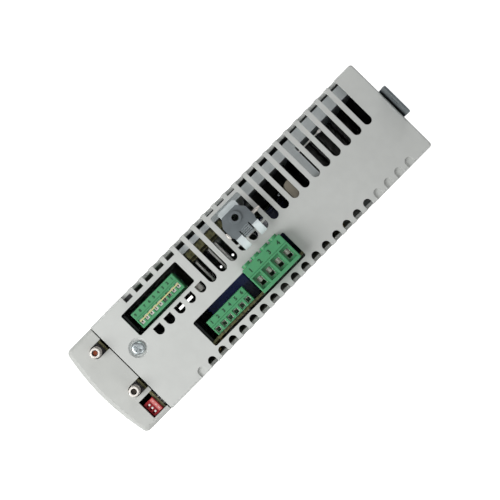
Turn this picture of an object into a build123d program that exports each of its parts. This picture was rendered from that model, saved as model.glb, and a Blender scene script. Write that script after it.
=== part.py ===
"""Book-form servo drive: a narrow moulded housing that hangs on a cabinet panel, terminal end up.

Frame: +X is right seen from the front, +Y points to the cabinet panel, +Z is up.
The origin is on the mounting plane, midway between the two mounting holes.
Positions on the end face are given as a depth, measured back from the front-most
point, and a distance across, measured from the slotted side.
"""
from build123d import *
import os

os.makedirs("parts", exist_ok=True)

# ---- driving dimensions, mm ----
WIDTH = 70.0
HEIGHT = 310.0
BODY_DEPTH = 250.5
MOUNT_GAP = 3.0
WALL = 2.2
COVER_DEPTH = 24.4
SPLIT_GAP = 0.7
COVER_SHRINK = 0.35
CROWN = 3.8

SLOT_COUNT = 21
SLOT_PITCH = 8.96
SLOT_FIRST = 54.1
SLOT_WIDTH = 5.8
SLOT_ACROSS_END = 34.0
SLOT_WRAP = 12.0
SMALL_SLOT_WIDTH = 5.5
SMALL_SLOT_START = 64.2

SCREW_DEPTH = 36.8
SCREW_ACROSS = 29.4

BOARD = 1.6
POWER_BOARD_ACROSS = 59.2
IO_BOARD_ACROSS = 25.6
DRIVER_BOARD_ACROSS = 14.9
CONTROL_BOARD_DEPTH = 21.5
BOARD_TOP = 149.0

SINK_ACROSS = 5.0
SINK_THIN = 3.6
SINK_THICK = 6.5
SINK_TOP = 148.0

TAB_WIDTH = 22.0
TAB_LENGTH = 17.0
SHEET = 1.5
MOUNT_HOLE_Z = 163.5
MOUNT_HOLE_R = 2.75

PORT_DEPTH = 16.9
PORT_ACROSS = (13.1, 46.1)
PORT_THREAD_R = 3.175
NOTCH_WIDTH = 8.0

FIT = 0.3
END_Z = HEIGHT / 2
OUTSIDE = 5.0


# ---- places and simple solids ----
def x_at(across):
    """X of a distance measured across from the slotted side."""
    return across - WIDTH / 2


def y_at(depth):
    """Y of a depth measured back from the front-most point."""
    return depth - BODY_DEPTH - MOUNT_GAP


def block(depths, acrosses, heights):
    """A box between two depths, two distances across and two heights."""
    size = [abs(limits[1] - limits[0]) for limits in (acrosses, depths, heights)]
    middle = (x_at(sum(acrosses) / 2), y_at(sum(depths) / 2), sum(heights) / 2)
    return Pos(*middle) * Box(*size)


def rounded_block(depths, acrosses, heights, radius):
    """A box whose four upright edges are rounded."""
    size = (abs(acrosses[1] - acrosses[0]), abs(depths[1] - depths[0]))
    low, high = sorted(heights)
    outline = RectangleRounded(*size, radius)
    place = Pos(x_at(sum(acrosses) / 2), y_at(sum(depths) / 2), low)
    return place * extrude(outline, amount=high - low)


def post(depth, across, heights, radius):
    """An upright cylinder."""
    low, high = sorted(heights)
    return Pos(x_at(across), y_at(depth), (low + high) / 2) * Cylinder(radius, high - low)


def rod_across(depth, z, acrosses, radius):
    """A cylinder lying along X."""
    length = abs(acrosses[1] - acrosses[0])
    return Pos(x_at(sum(acrosses) / 2), y_at(depth), z) * Rot(0, 90, 0) * Cylinder(radius, length)


def rod_deep(across, z, depths, radius):
    """A cylinder lying along Y."""
    length = abs(depths[1] - depths[0])
    return Pos(x_at(across), y_at(sum(depths) / 2), z) * Rot(90, 0, 0) * Cylinder(radius, length)


def flipped(shape):
    """The same shape at the other end of the drive."""
    return mirror(shape, about=Plane.XY)


def group(solids):
    """Separate solids kept together as one node."""
    flat = []
    for solid in solids:
        flat.extend(solid.solids())
    return Compound(children=flat)


def save(name, shape):
    shape.label = name
    export_step(shape, f"parts/{name}.step")


# ---- main housing ----
def slot_depth(index):
    """Depth of a vent's centre."""
    return SLOT_FIRST + SLOT_PITCH * index


def end_slot(index, start, end, round_end, floor=END_Z - 2 * WALL):
    """A vent in the end face, between two distances across, with a half-round far end."""
    half = SLOT_WIDTH / 2
    centre = slot_depth(index)
    straight_end = end - half if round_end else end
    cut = block((centre - half, centre + half), (start, straight_end), (floor, END_Z + OUTSIDE))
    if round_end:
        beyond = block((centre - half, centre + half), (straight_end, end), (floor, END_Z + OUTSIDE))
        cut += post(centre, straight_end, (floor, END_Z + OUTSIDE), half) & beyond
    return cut


def side_slot(index, across_range, width):
    """The part of a vent that wraps over the edge and runs down the side wall."""
    half = width / 2
    centre = slot_depth(index)
    bottom = END_Z - SLOT_WRAP + half
    cut = block((centre - half, centre + half), across_range, (bottom, END_Z + OUTSIDE))
    return cut + rod_across(centre, bottom, across_range, half)


def small_vent(index, floor=END_Z - 2 * WALL):
    """A short vent at the plain side's edge, with a half-round inner end."""
    half = SMALL_SLOT_WIDTH / 2
    centre = slot_depth(index)
    start = SMALL_SLOT_START + half
    cut = block((centre - half, centre + half), (start, WIDTH + OUTSIDE), (floor, END_Z + OUTSIDE))
    return cut + post(centre, start, (floor, END_Z + OUTSIDE), half)


BEHIND_CONTROL_PLUG = range(0, 5)
BEHIND_CLAMP = range(8, 11)
SMALL_OPEN = range(1, 17)
BLIND_FLOOR = END_Z - 1.7
DEEP_BLIND_FLOOR = END_Z - 3.9
BLIND_PAD_ACROSS = 7.0
SIDE_BESIDE_PLUG = 5.1
SIDE_BESIDE_CLAMP = 3.3
INNER_BESIDE_PLUG = 27.7
INNER_BESIDE_CLAMP = 29.8
SLOT_SIDE = (-OUTSIDE, WALL + 0.4)
PLAIN_SIDE = (WIDTH - WALL - 0.4, WIDTH + OUTSIDE)
CONTROL_WINDOW = ((43.0, 90.0), (8.3, 25.3))
MOTOR_WINDOW = ((70.7, 148.8), (42.5, 62.4))
CLAMP_WINDOW = ((123.3, 146.8), (5.4, 28.5))
MAINS_WINDOW = ((110.0, 150.5), (42.5, 62.4))
WINDOW_RADIUS = 1.2
WINDOW_WALL = 1.4
WINDOW_LIP = 1.3
WINDOW_LIP_TOP = END_Z - 0.3
FAR_SHORT = (28.0, 30.2)
FAR_SHORT_SHIFT = 1.9
FAR_SHORT_COUNT = 16
FAR_SHORT_OPEN = (0, 1)
FAR_DRAINS = ((101.0, 28.9), (114.5, 28.9))
FAR_DRAIN_R = 1.0
DISH_RADIUS = 6.1
DISH_FLOOR_RADIUS = 4.7
DISH_DEPTH = 1.5
SCREW_SHANK_R = 2.0
BOSS_RADIUS = 5.5
BOSS_LENGTH = 16.0


def terminal_end_cuts():
    """Every opening in the end that carries the terminals."""
    cuts = []
    for index in range(SLOT_COUNT):
        if index in BEHIND_CONTROL_PLUG:
            floor = DEEP_BLIND_FLOOR if index == 0 else END_Z - 2 * WALL
            cuts.append(end_slot(index, -OUTSIDE, SIDE_BESIDE_PLUG, False, floor))
            cuts.append(end_slot(index, INNER_BESIDE_PLUG, SLOT_ACROSS_END, True))
        elif index in BEHIND_CLAMP:
            cuts.append(end_slot(index, -OUTSIDE, SIDE_BESIDE_CLAMP, False))
            cuts.append(end_slot(index, INNER_BESIDE_CLAMP, SLOT_ACROSS_END, True))
        else:
            cuts.append(end_slot(index, -OUTSIDE, SLOT_ACROSS_END, True))
        if index > 0:
            cuts.append(side_slot(index, SLOT_SIDE, SLOT_WIDTH))
        if index in SMALL_OPEN:
            cuts.append(small_vent(index))
            cuts.append(side_slot(index, PLAIN_SIDE, SMALL_SLOT_WIDTH))
        else:
            cuts.append(small_vent(index, BLIND_FLOOR))
    for depths, acrosses in (CONTROL_WINDOW, MOTOR_WINDOW, CLAMP_WINDOW):
        cuts.append(rounded_block(depths, acrosses, (END_Z - 2 * WALL, END_Z + OUTSIDE), WINDOW_RADIUS))
    return cuts


def far_end_cuts():
    """Every opening in the other end, drawn as if it were at the terminal end."""
    cuts = []
    for index in range(SLOT_COUNT):
        if index < FAR_SHORT_COUNT:
            floor = END_Z - 2 * WALL if index in FAR_SHORT_OPEN else BLIND_FLOOR
            cuts.append(Pos(0, FAR_SHORT_SHIFT, 0) * end_slot(index, *FAR_SHORT, False, floor))
        else:
            cuts.append(end_slot(index, -OUTSIDE, SLOT_ACROSS_END, True))
            cuts.append(side_slot(index, SLOT_SIDE, SLOT_WIDTH))
        cuts.append(small_vent(index))
        cuts.append(side_slot(index, PLAIN_SIDE, SMALL_SLOT_WIDTH))
    for place in FAR_DRAINS:
        cuts.append(post(*place, (END_Z - 2 * WALL, END_Z + OUTSIDE), FAR_DRAIN_R))
    depths, acrosses = MAINS_WINDOW
    cuts.append(rounded_block(depths, acrosses, (END_Z - 2 * WALL, END_Z + OUTSIDE), WINDOW_RADIUS))
    return cuts


def screw_dish():
    """The dished seat and the clearance hole of the housing screw."""
    dish = Pos(x_at(SCREW_ACROSS), y_at(SCREW_DEPTH), END_Z - DISH_DEPTH / 2)
    dish *= Cone(DISH_FLOOR_RADIUS, DISH_RADIUS, DISH_DEPTH)
    bore = (END_Z - BOSS_LENGTH - WALL, END_Z)
    return dish + post(SCREW_DEPTH, SCREW_ACROSS, bore, SCREW_SHANK_R + 0.05)


# each window that has a lip: its front edge, the gap to the lip, the lip's width across, its drop
WINDOW_LIPS = (
    (CONTROL_WINDOW[0][0], 0.4, (9.4, 22.6), 25.0),
    (MOTOR_WINDOW[0][0], 0.3, (43.4, 58.6), 30.0),
)


def window_lip(edge, gap, acrosses, drop):
    """A wall under the front edge of a window, folded back up inside the opening as a lip."""
    low = END_Z - drop
    wall = block((edge - WINDOW_WALL, edge), acrosses, (low, END_Z - WALL))
    fold = block((edge - WINDOW_WALL, edge + gap + WINDOW_LIP), acrosses, (low, low + WINDOW_WALL))
    lip = block((edge + gap, edge + gap + WINDOW_LIP), acrosses, (low, WINDOW_LIP_TOP))
    return wall + fold + lip


def main_housing():
    """The moulded shell behind the front cover, open at the front and pierced at both ends."""
    front = COVER_DEPTH + SPLIT_GAP
    shell = block((front, BODY_DEPTH), (0, WIDTH), (-END_Z, END_Z))
    rear_face = shell.faces().sort_by(Axis.Y)[-1]
    shell = fillet(rear_face.edges().filter_by(Axis.Z), 2.0)
    rims = []
    for face in (shell.faces().sort_by(Axis.Z)[-1], shell.faces().sort_by(Axis.Z)[0]):
        rims.extend([edge for edge in face.edges() if edge.center().Y > y_at(front) + 0.1])
    shell = fillet(rims, 1.2)
    shell -= block((front - 1, BODY_DEPTH + 1), (WALL, WIDTH - WALL), (-END_Z + WALL, END_Z - WALL))
    boss = post(SCREW_DEPTH, SCREW_ACROSS, (END_Z - WALL - BOSS_LENGTH, END_Z - WALL), BOSS_RADIUS)
    pad_depths = (slot_depth(0) - SLOT_PITCH / 2, slot_depth(0) + SLOT_PITCH / 2)
    blind_pad = block(pad_depths, (WALL, BLIND_PAD_ACROSS), (DEEP_BLIND_FLOOR - WALL, END_Z - WALL))
    shell += [boss, flipped(boss), blind_pad] + [window_lip(*lip) for lip in WINDOW_LIPS]
    far_cuts = [flipped(cut) for cut in far_end_cuts()]
    shell -= terminal_end_cuts() + far_cuts + [screw_dish(), flipped(screw_dish())]
    return shell


# ---- front cover and what it carries ----
DIP_WINDOW = ((13.3, COVER_DEPTH + 1), (53.0, 66.3))
RIB_ACROSS = (50.1, 53.0)
RIB_RISE = 0.4
DISPLAY_Z = (112.0, 130.0)
DISPLAY_ACROSS = (22.0, 48.0)
LIGHT_Z = 98.0
LIGHT_ACROSS = (24.5, 31.5, 38.5, 45.5)
LIGHT_R = 1.5
SERVICE_Z = (66.0, 80.0)
SERVICE_ACROSS = (27.0, 43.0)
ENCODER_Z = (8.0, 47.0)
ENCODER_ACROSS = (28.8, 41.2)
LABEL_Z = (-118.0, -18.0)
LABEL_ACROSS = (16.0, 54.0)
LABEL_RECESS = 0.6
BOARD_POST_Z = (-130.0, -40.0, 55.0, 124.0)
BOARD_POST_ACROSS = (7.5, 62.5)
BOARD_POST_R = 3.2
BOARD_POST_FRONT = 4.0
COVER_CORNER_R = 3.6
COVER_RIM_R = 2.8
COVER_LIP_THICKNESS = 1.2
COVER_LIP_DEPTHS = (COVER_DEPTH - 6.0, COVER_DEPTH + 3.0)
COVER_LIP_Z = (-END_Z + 30.0, END_Z - 30.0)
FRONT_CUT = (-1.0, 7.0)
LABEL_SEAT = LABEL_RECESS + 0.6


def crowned_slab(inset, rear_depth):
    """A slab whose front is an arc across the width, inset from the cover's outside."""
    half = WIDTH / 2 - COVER_SHRINK
    radius = (half ** 2 + CROWN ** 2) / (2 * CROWN)
    outline = Pos(0, y_at(rear_depth) - rear_depth / 2) * Rectangle(2 * (half - inset), rear_depth)
    disc = Pos(0, y_at(0) + radius) * Circle(radius - inset)
    return Pos(0, 0, inset - END_Z) * extrude(outline & disc, amount=HEIGHT - 2 * inset)


def front_cover():
    """The crowned front moulding, with its openings and the posts for the control board."""
    shell = crowned_slab(0, COVER_DEPTH)
    upright = shell.edges().filter_by(Axis.Z)
    corners = [edge for edge in upright if edge.center().Y < y_at(COVER_DEPTH / 2)]
    shell = fillet(corners, COVER_CORNER_R)
    rims = []
    for face in (shell.faces().sort_by(Axis.Z)[-1], shell.faces().sort_by(Axis.Z)[0]):
        rims.extend([edge for edge in face.edges() if edge.center().Y < y_at(COVER_DEPTH) - 0.1])
    shell = fillet(rims, COVER_RIM_R)
    shell -= crowned_slab(WALL, COVER_DEPTH + 1)
    shell += block((DIP_WINDOW[0][0], COVER_DEPTH), RIB_ACROSS, (END_Z - WALL, END_Z + RIB_RISE))
    lip_outer = WALL + 0.15
    lip_inner = lip_outer + COVER_LIP_THICKNESS
    for across in ((lip_outer, lip_inner), (WIDTH - lip_inner, WIDTH - lip_outer)):
        shell += block(COVER_LIP_DEPTHS, across, COVER_LIP_Z)
    posts = []
    for z in BOARD_POST_Z:
        for across in BOARD_POST_ACROSS:
            posts.append(rod_deep(across, z, (BOARD_POST_FRONT, CONTROL_BOARD_DEPTH), BOARD_POST_R))
    shell += posts
    through_end = (END_Z - 2 * WALL, END_Z + OUTSIDE)
    cuts = [block(*DIP_WINDOW, through_end)]
    half = NOTCH_WIDTH / 2
    for across in PORT_ACROSS:
        cuts.append(block((PORT_DEPTH, COVER_DEPTH + 1), (across - half, across + half), through_end))
        cuts.append(post(PORT_DEPTH, across, through_end, half))
    cuts.append(block(FRONT_CUT, DISPLAY_ACROSS, DISPLAY_Z))
    cuts.append(block(FRONT_CUT, SERVICE_ACROSS, SERVICE_Z))
    cuts.append(block(FRONT_CUT, ENCODER_ACROSS, ENCODER_Z))
    for across in LIGHT_ACROSS:
        cuts.append(rod_deep(across, LIGHT_Z, FRONT_CUT, LIGHT_R + 0.05))
    cuts.append(block((-1, LABEL_SEAT), LABEL_ACROSS, LABEL_Z))
    return shell - cuts


def shrunk(limits, inset):
    """A pair of limits moved towards each other, or apart if the inset is negative."""
    return limits[0] + inset, limits[1] - inset


PANE_DEPTHS = (0.9, 3.4)
PANE_FLANGE_BACK = 4.6
PANE_FLANGE_WIDTH = 1.5
DISPLAY_FACE_DEPTH = 8.0
LIGHT_FRONT = 0.6


def display_window():
    """The smoked pane over the status display, with a step that seats behind the cover."""
    pane = block(PANE_DEPTHS, shrunk(DISPLAY_ACROSS, 0.1), shrunk(DISPLAY_Z, 0.1))
    flange = block((PANE_DEPTHS[1], PANE_FLANGE_BACK), shrunk(DISPLAY_ACROSS, -PANE_FLANGE_WIDTH),
                   shrunk(DISPLAY_Z, -PANE_FLANGE_WIDTH))
    front_edges = pane.faces().sort_by(Axis.Y)[0].edges()
    return chamfer(front_edges, 0.4) + flange


def display_module():
    """The display's package, standing on the control board."""
    depths = (DISPLAY_FACE_DEPTH, CONTROL_BOARD_DEPTH)
    return block(depths, shrunk(DISPLAY_ACROSS, 1.0), shrunk(DISPLAY_Z, 1.0))


def status_light_pipes():
    """Clear rods that carry the status lights from the board to the front."""
    depths = (LIGHT_FRONT, CONTROL_BOARD_DEPTH - 1.0)
    return group([rod_deep(across, LIGHT_Z, depths, LIGHT_R) for across in LIGHT_ACROSS])


JACK_FRONT = 1.6
JACK_MOUTH_HALF = 5.9
JACK_MOUTH_RISE = (1.6, 8.2)
JACK_MOUTH_BACK = 15.0
LATCH_HALF = 3.1
LATCH_TOP = 10.6
LATCH_BACK = 13.0


def service_socket():
    """The shielded jack of the service port."""
    heights = shrunk(SERVICE_Z, 0.4)
    shell = block((JACK_FRONT, CONTROL_BOARD_DEPTH), shrunk(SERVICE_ACROSS, 0.4), heights)
    middle = sum(SERVICE_ACROSS) / 2
    floor, ceiling = (heights[0] + rise for rise in JACK_MOUTH_RISE)
    mouth = block((JACK_FRONT - 1, JACK_MOUTH_BACK), (middle - JACK_MOUTH_HALF, middle + JACK_MOUTH_HALF),
                  (floor, ceiling))
    latch_way = block((JACK_FRONT - 1, LATCH_BACK), (middle - LATCH_HALF, middle + LATCH_HALF),
                      (ceiling, heights[0] + LATCH_TOP))
    return shell - [mouth, latch_way]


ENCODER_FLANGE_DEPTH = 5.4
ENCODER_FLANGE_THICKNESS = 1.0
ENCODER_SCREW_GAP = 3.0
ENCODER_LONG_HALF = 12.3
ENCODER_SHORT_HALF = 4.1
ENCODER_SLANT = 1.5
ENCODER_COLLAR_FRONT = 0.8
ENCODER_INSERT_FRONT = 1.6
ENCODER_MIDDLE_Z = sum(ENCODER_Z) / 2
ENCODER_MIDDLE_ACROSS = sum(ENCODER_ACROSS) / 2
CONTACT_ROWS = ((-1.42, 8), (1.42, 7))
CONTACT_PITCH = 2.77
CONTACT_R = 0.55
CONTACT_BACK = 5.0
JACK_POST_FRONT = 1.2


def encoder_outline(grow):
    """The D-shaped outline of the encoder socket, standing upright."""
    long_half = ENCODER_LONG_HALF + grow
    short_half = ENCODER_SHORT_HALF + grow
    points = [
        (-short_half, -long_half),
        (-short_half, long_half),
        (short_half, long_half - ENCODER_SLANT),
        (short_half, -long_half + ENCODER_SLANT),
    ]
    face = make_face(Polyline(*points, close=True))
    face = fillet(face.vertices(), 1.2)
    centre = (x_at(ENCODER_MIDDLE_ACROSS), y_at(0), ENCODER_MIDDLE_Z)
    return Plane(origin=centre, x_dir=(1, 0, 0), z_dir=(0, 1, 0)) * face


def encoder_solid(grow, depths):
    """A D-shaped prism between two depths."""
    low, high = depths
    return Pos(0, low, 0) * extrude(encoder_outline(grow), amount=high - low)


def encoder_socket_shell():
    """The pressed metal shell and flange of the encoder socket."""
    flange_depths = (ENCODER_FLANGE_DEPTH, ENCODER_FLANGE_DEPTH + ENCODER_FLANGE_THICKNESS)
    flange = block(flange_depths, shrunk(ENCODER_ACROSS, FIT), shrunk(ENCODER_Z, FIT))
    collar = encoder_solid(0.5, (ENCODER_COLLAR_FRONT, ENCODER_FLANGE_DEPTH))
    shell = flange + collar
    shell -= encoder_solid(0, (0.0, ENCODER_FLANGE_DEPTH + 2))
    for z in encoder_screw_heights():
        shell -= rod_deep(ENCODER_MIDDLE_ACROSS, z, (0, ENCODER_FLANGE_DEPTH + 2), 1.6)
    return shell


def encoder_screw_heights():
    """Heights of the socket's two screws."""
    return shrunk(ENCODER_Z, FIT + ENCODER_SCREW_GAP)


def encoder_socket_insert():
    """The black insulator of the encoder socket, with its fifteen contact holes."""
    flange_back = ENCODER_FLANGE_DEPTH + ENCODER_FLANGE_THICKNESS
    body = encoder_solid(-0.05, (ENCODER_INSERT_FRONT, flange_back))
    body += block((flange_back, CONTROL_BOARD_DEPTH), shrunk(ENCODER_ACROSS, 1.2), shrunk(ENCODER_Z, 8.5))
    holes = []
    for row, count in CONTACT_ROWS:
        for step in range(count):
            z = ENCODER_MIDDLE_Z + (step - (count - 1) / 2) * CONTACT_PITCH
            depths = (ENCODER_INSERT_FRONT - 1, CONTACT_BACK)
            holes.append(rod_deep(ENCODER_MIDDLE_ACROSS + row, z, depths, CONTACT_R))
    return body - holes


def encoder_jack_posts():
    """The two hexagonal posts that hold the encoder plug."""
    posts = []
    for z in encoder_screw_heights():
        centre = (x_at(ENCODER_MIDDLE_ACROSS), y_at(JACK_POST_FRONT), z)
        hexagon = Plane(origin=centre, x_dir=(1, 0, 0), z_dir=(0, 1, 0)) * RegularPolygon(2.5, 6)
        body = extrude(hexagon, amount=ENCODER_FLANGE_DEPTH - JACK_POST_FRONT)
        body += rod_deep(ENCODER_MIDDLE_ACROSS, z, (ENCODER_FLANGE_DEPTH, CONTROL_BOARD_DEPTH), 1.5)
        body -= rod_deep(ENCODER_MIDDLE_ACROSS, z, (0, 5.0), 1.25)
        posts.append(body)
    return group(posts)


LABEL_SINK = 0.15


def label_plate():
    """The blank rating plate, glued in its recess."""
    front = crowned_slab(0, LABEL_SEAT)
    area = block((-1, LABEL_SEAT), shrunk(LABEL_ACROSS, FIT), shrunk(LABEL_Z, FIT))
    return Pos(0, LABEL_SINK, 0) * (front & area) & area


# ---- fibre-optic ports and address switch, on the control board ----
PORT_BARREL_TOP = END_Z + 8.0
PORT_BODY_TOP = END_Z - 5.0
PORT_BODY_HALF = 4.6
THREAD_PITCH = 0.8
THREAD_DEPTH = 0.35
COLLAR_LENGTH = 3.0
BARREL_BORE_R = 1.95
PORT_BODY_HEIGHT = 20.0
CORE_R = 1.5
CORE_DROP = 6.0


def port_barrel(across):
    """A threaded sleeve that a fibre plug screws onto."""
    barrel = post(PORT_DEPTH, across, (PORT_BODY_TOP, PORT_BARREL_TOP), PORT_THREAD_R)
    barrel += post(PORT_DEPTH, across, (PORT_BODY_TOP, PORT_BODY_TOP + COLLAR_LENGTH), PORT_THREAD_R + 0.3)
    barrel = chamfer(barrel.edges().group_by(Axis.Z)[-1], 0.3)
    grooves = []
    root = Cylinder(PORT_THREAD_R - THREAD_DEPTH, THREAD_PITCH)
    ring = Cylinder(PORT_THREAD_R + 1, THREAD_PITCH / 2) - root
    z = PORT_BODY_TOP + COLLAR_LENGTH + THREAD_PITCH
    while z < PORT_BARREL_TOP - THREAD_PITCH * 0.75:
        grooves.append(Pos(x_at(across), y_at(PORT_DEPTH), z) * ring)
        z += THREAD_PITCH
    barrel -= grooves
    return barrel - post(PORT_DEPTH, across, (PORT_BODY_TOP - 1, PORT_BARREL_TOP + 1), BARREL_BORE_R)


def port_housing(across):
    """The moulded block that holds a barrel and stands on the control board."""
    body = block((PORT_DEPTH - PORT_BODY_HALF + 0.6, CONTROL_BOARD_DEPTH),
                 (across - PORT_BODY_HALF, across + PORT_BODY_HALF),
                 (PORT_BODY_TOP - PORT_BODY_HEIGHT, PORT_BODY_TOP))
    step = block((PORT_DEPTH + PORT_THREAD_R + 0.4, CONTROL_BOARD_DEPTH - 0.8),
                 (across - PORT_THREAD_R, across + PORT_THREAD_R),
                 (PORT_BODY_TOP, PORT_BODY_TOP + COLLAR_LENGTH))
    body = chamfer(body.edges().group_by(Axis.Z)[-1], 0.4) + step
    return body - post(PORT_DEPTH, across, (PORT_BODY_TOP - CORE_DROP, PORT_BODY_TOP + 1), CORE_R + 0.05)


def port_core(across):
    """The optical element seen down the bore."""
    core = post(PORT_DEPTH, across, (PORT_BODY_TOP - CORE_DROP, PORT_BARREL_TOP - 1.6), CORE_R)
    return chamfer(core.edges().group_by(Axis.Z)[-1], 0.35)


DIP_DEPTHS = (14.0, CONTROL_BOARD_DEPTH)
DIP_ACROSS = (56.3, 65.9)
DIP_TOP = END_Z - 2.4
DIP_STEP_DEPTH = 18.4
DIP_BOTTOM = END_Z - 13.0
LEVER_ACROSS = (58.7, 61.24, 63.78)
LEVER_DEPTH = 16.75
LEVER_HALF = 0.62
LEVER_TRAVEL = 1.4
LEVER_SLOT_DEPTH = 3.0
LEVER_CLEARANCE = 0.1
DIP_PIN_R = 0.32
DIP_PIN_Z = (DIP_TOP - 3.5, DIP_TOP - 8.6)


def dip_switch_body():
    """The red three-way slide switch, stepped across its top."""
    body = block(DIP_DEPTHS, DIP_ACROSS, (DIP_BOTTOM, DIP_TOP))
    body = chamfer(body.edges().group_by(Axis.Z)[-1], 0.25)
    body -= block((DIP_DEPTHS[0] - 1, DIP_STEP_DEPTH), (DIP_ACROSS[0] - 1, DIP_ACROSS[1] + 1),
                  (DIP_TOP - 0.5, DIP_TOP + 1))
    for across in LEVER_ACROSS:
        half = LEVER_HALF + LEVER_CLEARANCE
        body -= block((LEVER_DEPTH - half - LEVER_TRAVEL, LEVER_DEPTH + half),
                      (across - half, across + half), (DIP_TOP - LEVER_SLOT_DEPTH, DIP_TOP + 1))
    return body


def dip_lever(across):
    """One white slider."""
    slider = block((LEVER_DEPTH - LEVER_HALF, LEVER_DEPTH + LEVER_HALF),
                   (across - LEVER_HALF, across + LEVER_HALF),
                   (DIP_TOP - LEVER_SLOT_DEPTH + LEVER_CLEARANCE, DIP_TOP + 0.5))
    return fillet(slider.edges().group_by(Axis.Z)[-1], 0.3)


def dip_switch_pins():
    """The soldered legs that come through the control board."""
    pins = []
    for across in LEVER_ACROSS:
        for z in DIP_PIN_Z:
            reach = (CONTROL_BOARD_DEPTH, CONTROL_BOARD_DEPTH + BOARD + 1.3)
            pins.append(rod_deep(across, z, reach, DIP_PIN_R))
    return group(pins)


# ---- pluggable terminals ----
class Terminal:
    """A soldered header and the screw plug that pulls off it, drawn at the terminal end."""

    def __init__(self, ways, pitch, first, cheek, body, rim, top, seat, board_face):
        self.ways = ways
        self.pitch = pitch
        self.first = first
        self.body = body
        self.rim = rim
        self.top = top
        self.seat = seat
        self.board_face = board_face
        self.ends = (first - pitch / 2 - cheek, first + pitch * (ways - 0.5) + cheek)

    def way_depths(self):
        return [self.first + self.pitch * way for way in range(self.ways)]


MOTOR = Terminal(
    ways=4, pitch=7.62, first=118.8, cheek=0.5, body=(43.2, 58.8), rim=(41.5, 60.6),
    top=END_Z + 12.0, seat=END_Z - 9.0, board_face=POWER_BOARD_ACROSS)
BRAKE = Terminal(
    ways=6, pitch=5.08, first=79.5, cheek=0.15, body=(48.0, 58.8), rim=(48.0, 58.8),
    top=END_Z + 1.5, seat=END_Z - 9.0, board_face=POWER_BOARD_ACROSS)
CONTROL = Terminal(
    ways=9, pitch=3.81, first=50.55, cheek=0.5, body=(12.1, 23.6), rim=(12.1, 23.6),
    top=END_Z + 4.0, seat=END_Z - 8.0, board_face=IO_BOARD_ACROSS)
HEADER_DEPTH = 19.0
HEADER_WALL = 1.1
HEADER_FLOOR = 2.0
HEADER_FOOT = 6.0
PIN_HALF = 0.5
PIN_DROP = 4.0
LEG_HEIGHT = 1.2


def header(terminal):
    """The shroud, open towards the end face, with a foot that reaches over to the board."""
    low = terminal.seat - HEADER_DEPTH
    outer = block(terminal.ends, terminal.body, (low, terminal.seat - FIT))
    outer += block(terminal.ends, (terminal.body[0], terminal.board_face), (low, low + HEADER_FOOT))
    inner = block((terminal.ends[0] + HEADER_WALL, terminal.ends[1] - HEADER_WALL),
                  (terminal.body[0] + HEADER_WALL, terminal.body[1] - HEADER_WALL),
                  (low + HEADER_FLOOR, terminal.seat + 1))
    shroud = outer - inner
    for depth in terminal.way_depths():
        middle = sum(terminal.body) / 2
        shroud -= block((depth - PIN_HALF, depth + PIN_HALF), (middle - PIN_HALF, middle + PIN_HALF),
                        (low - 1, low + HEADER_FLOOR + 1))
    return shroud


def header_pins(terminal):
    """The contact pins that stand in the shroud."""
    middle = sum(terminal.body) / 2
    low = terminal.seat - HEADER_DEPTH
    pins = []
    for depth in terminal.way_depths():
        pin = block((depth - PIN_HALF, depth + PIN_HALF), (middle - PIN_HALF, middle + PIN_HALF),
                    (low, terminal.seat - PIN_DROP))
        leg = block((depth - PIN_HALF, depth + PIN_HALF),
                    (middle - PIN_HALF, terminal.board_face + BOARD + 1.0), (low - LEG_HEIGHT, low))
        pins.append(pin + leg)
    return pins


def plug_body(terminal, well, throat, mouth, mouth_drop, cage_top, groove):
    """The green plug: a band for the way numbers, and a stepped wire mouth for each way."""
    tongue_gap = HEADER_WALL + FIT
    tongue = block((terminal.ends[0] + tongue_gap, terminal.ends[1] - tongue_gap),
                   (terminal.body[0] + tongue_gap, terminal.body[1] - tongue_gap),
                   (terminal.seat - HEADER_DEPTH + HEADER_FLOOR + FIT, terminal.seat))
    body = block(terminal.ends, terminal.body, (terminal.seat, terminal.top))
    if terminal.rim != terminal.body:
        body += block(terminal.ends, terminal.rim, (END_Z + 0.5, terminal.top))
    body = chamfer(body.edges().group_by(Axis.Z)[-1], 0.35) + tongue
    cuts = [block((terminal.ends[0] - 1, terminal.ends[1] + 1), (groove - 0.2, groove + 0.2),
                  (terminal.top - 0.45, terminal.top + 1))]
    pin_middle = sum(terminal.body) / 2
    slack = PIN_HALF + FIT
    for depth in terminal.way_depths():
        for (width, acrosses), heights in (
                (well, (terminal.top - mouth_drop, terminal.top + 1)),
                (throat, (cage_top, terminal.top)),
                (mouth, (terminal.seat + CAGE_FLOOR, cage_top + 0.2))):
            cuts.append(block((depth - width / 2, depth + width / 2), acrosses, heights))
        cuts.append(block((depth - slack, depth + slack), (pin_middle - slack, pin_middle + slack),
                          (terminal.seat - HEADER_DEPTH, terminal.seat - PIN_DROP + FIT)))
    return body - cuts


def screw_holes(terminal, z, radius, across_range):
    """Holes across the plug, one for each way."""
    return [rod_across(depth, z, across_range, radius) for depth in terminal.way_depths()]


def clamp_cages(terminal, mouth, wall, heights):
    """The metal cages that grip the wires, lining the mouths."""
    cages = []
    for depth in terminal.way_depths():
        half = mouth[0] / 2
        cage = block((depth - half, depth + half), mouth[1], heights)
        inner = (mouth[1][0] + wall, mouth[1][1] - wall)
        cage -= block((depth - half + wall, depth + half - wall), inner, (heights[0] - 1, heights[1] + 1))
        cages.append(cage)
    return cages


def terminal_screws(terminal, z, radius, head_radius, head_range, tip):
    """Slotted screws that lie across the plug, heads towards the slotted side."""
    screws = []
    for depth in terminal.way_depths():
        screw = rod_across(depth, z, (head_range[1], tip), radius)
        screw += rod_across(depth, z, head_range, head_radius)
        screw -= block((depth - 0.3, depth + 0.3), (head_range[0] - 1, head_range[0] + 0.7),
                       (z - head_radius, z + head_radius))
        screws.append(screw)
    return screws


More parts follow.
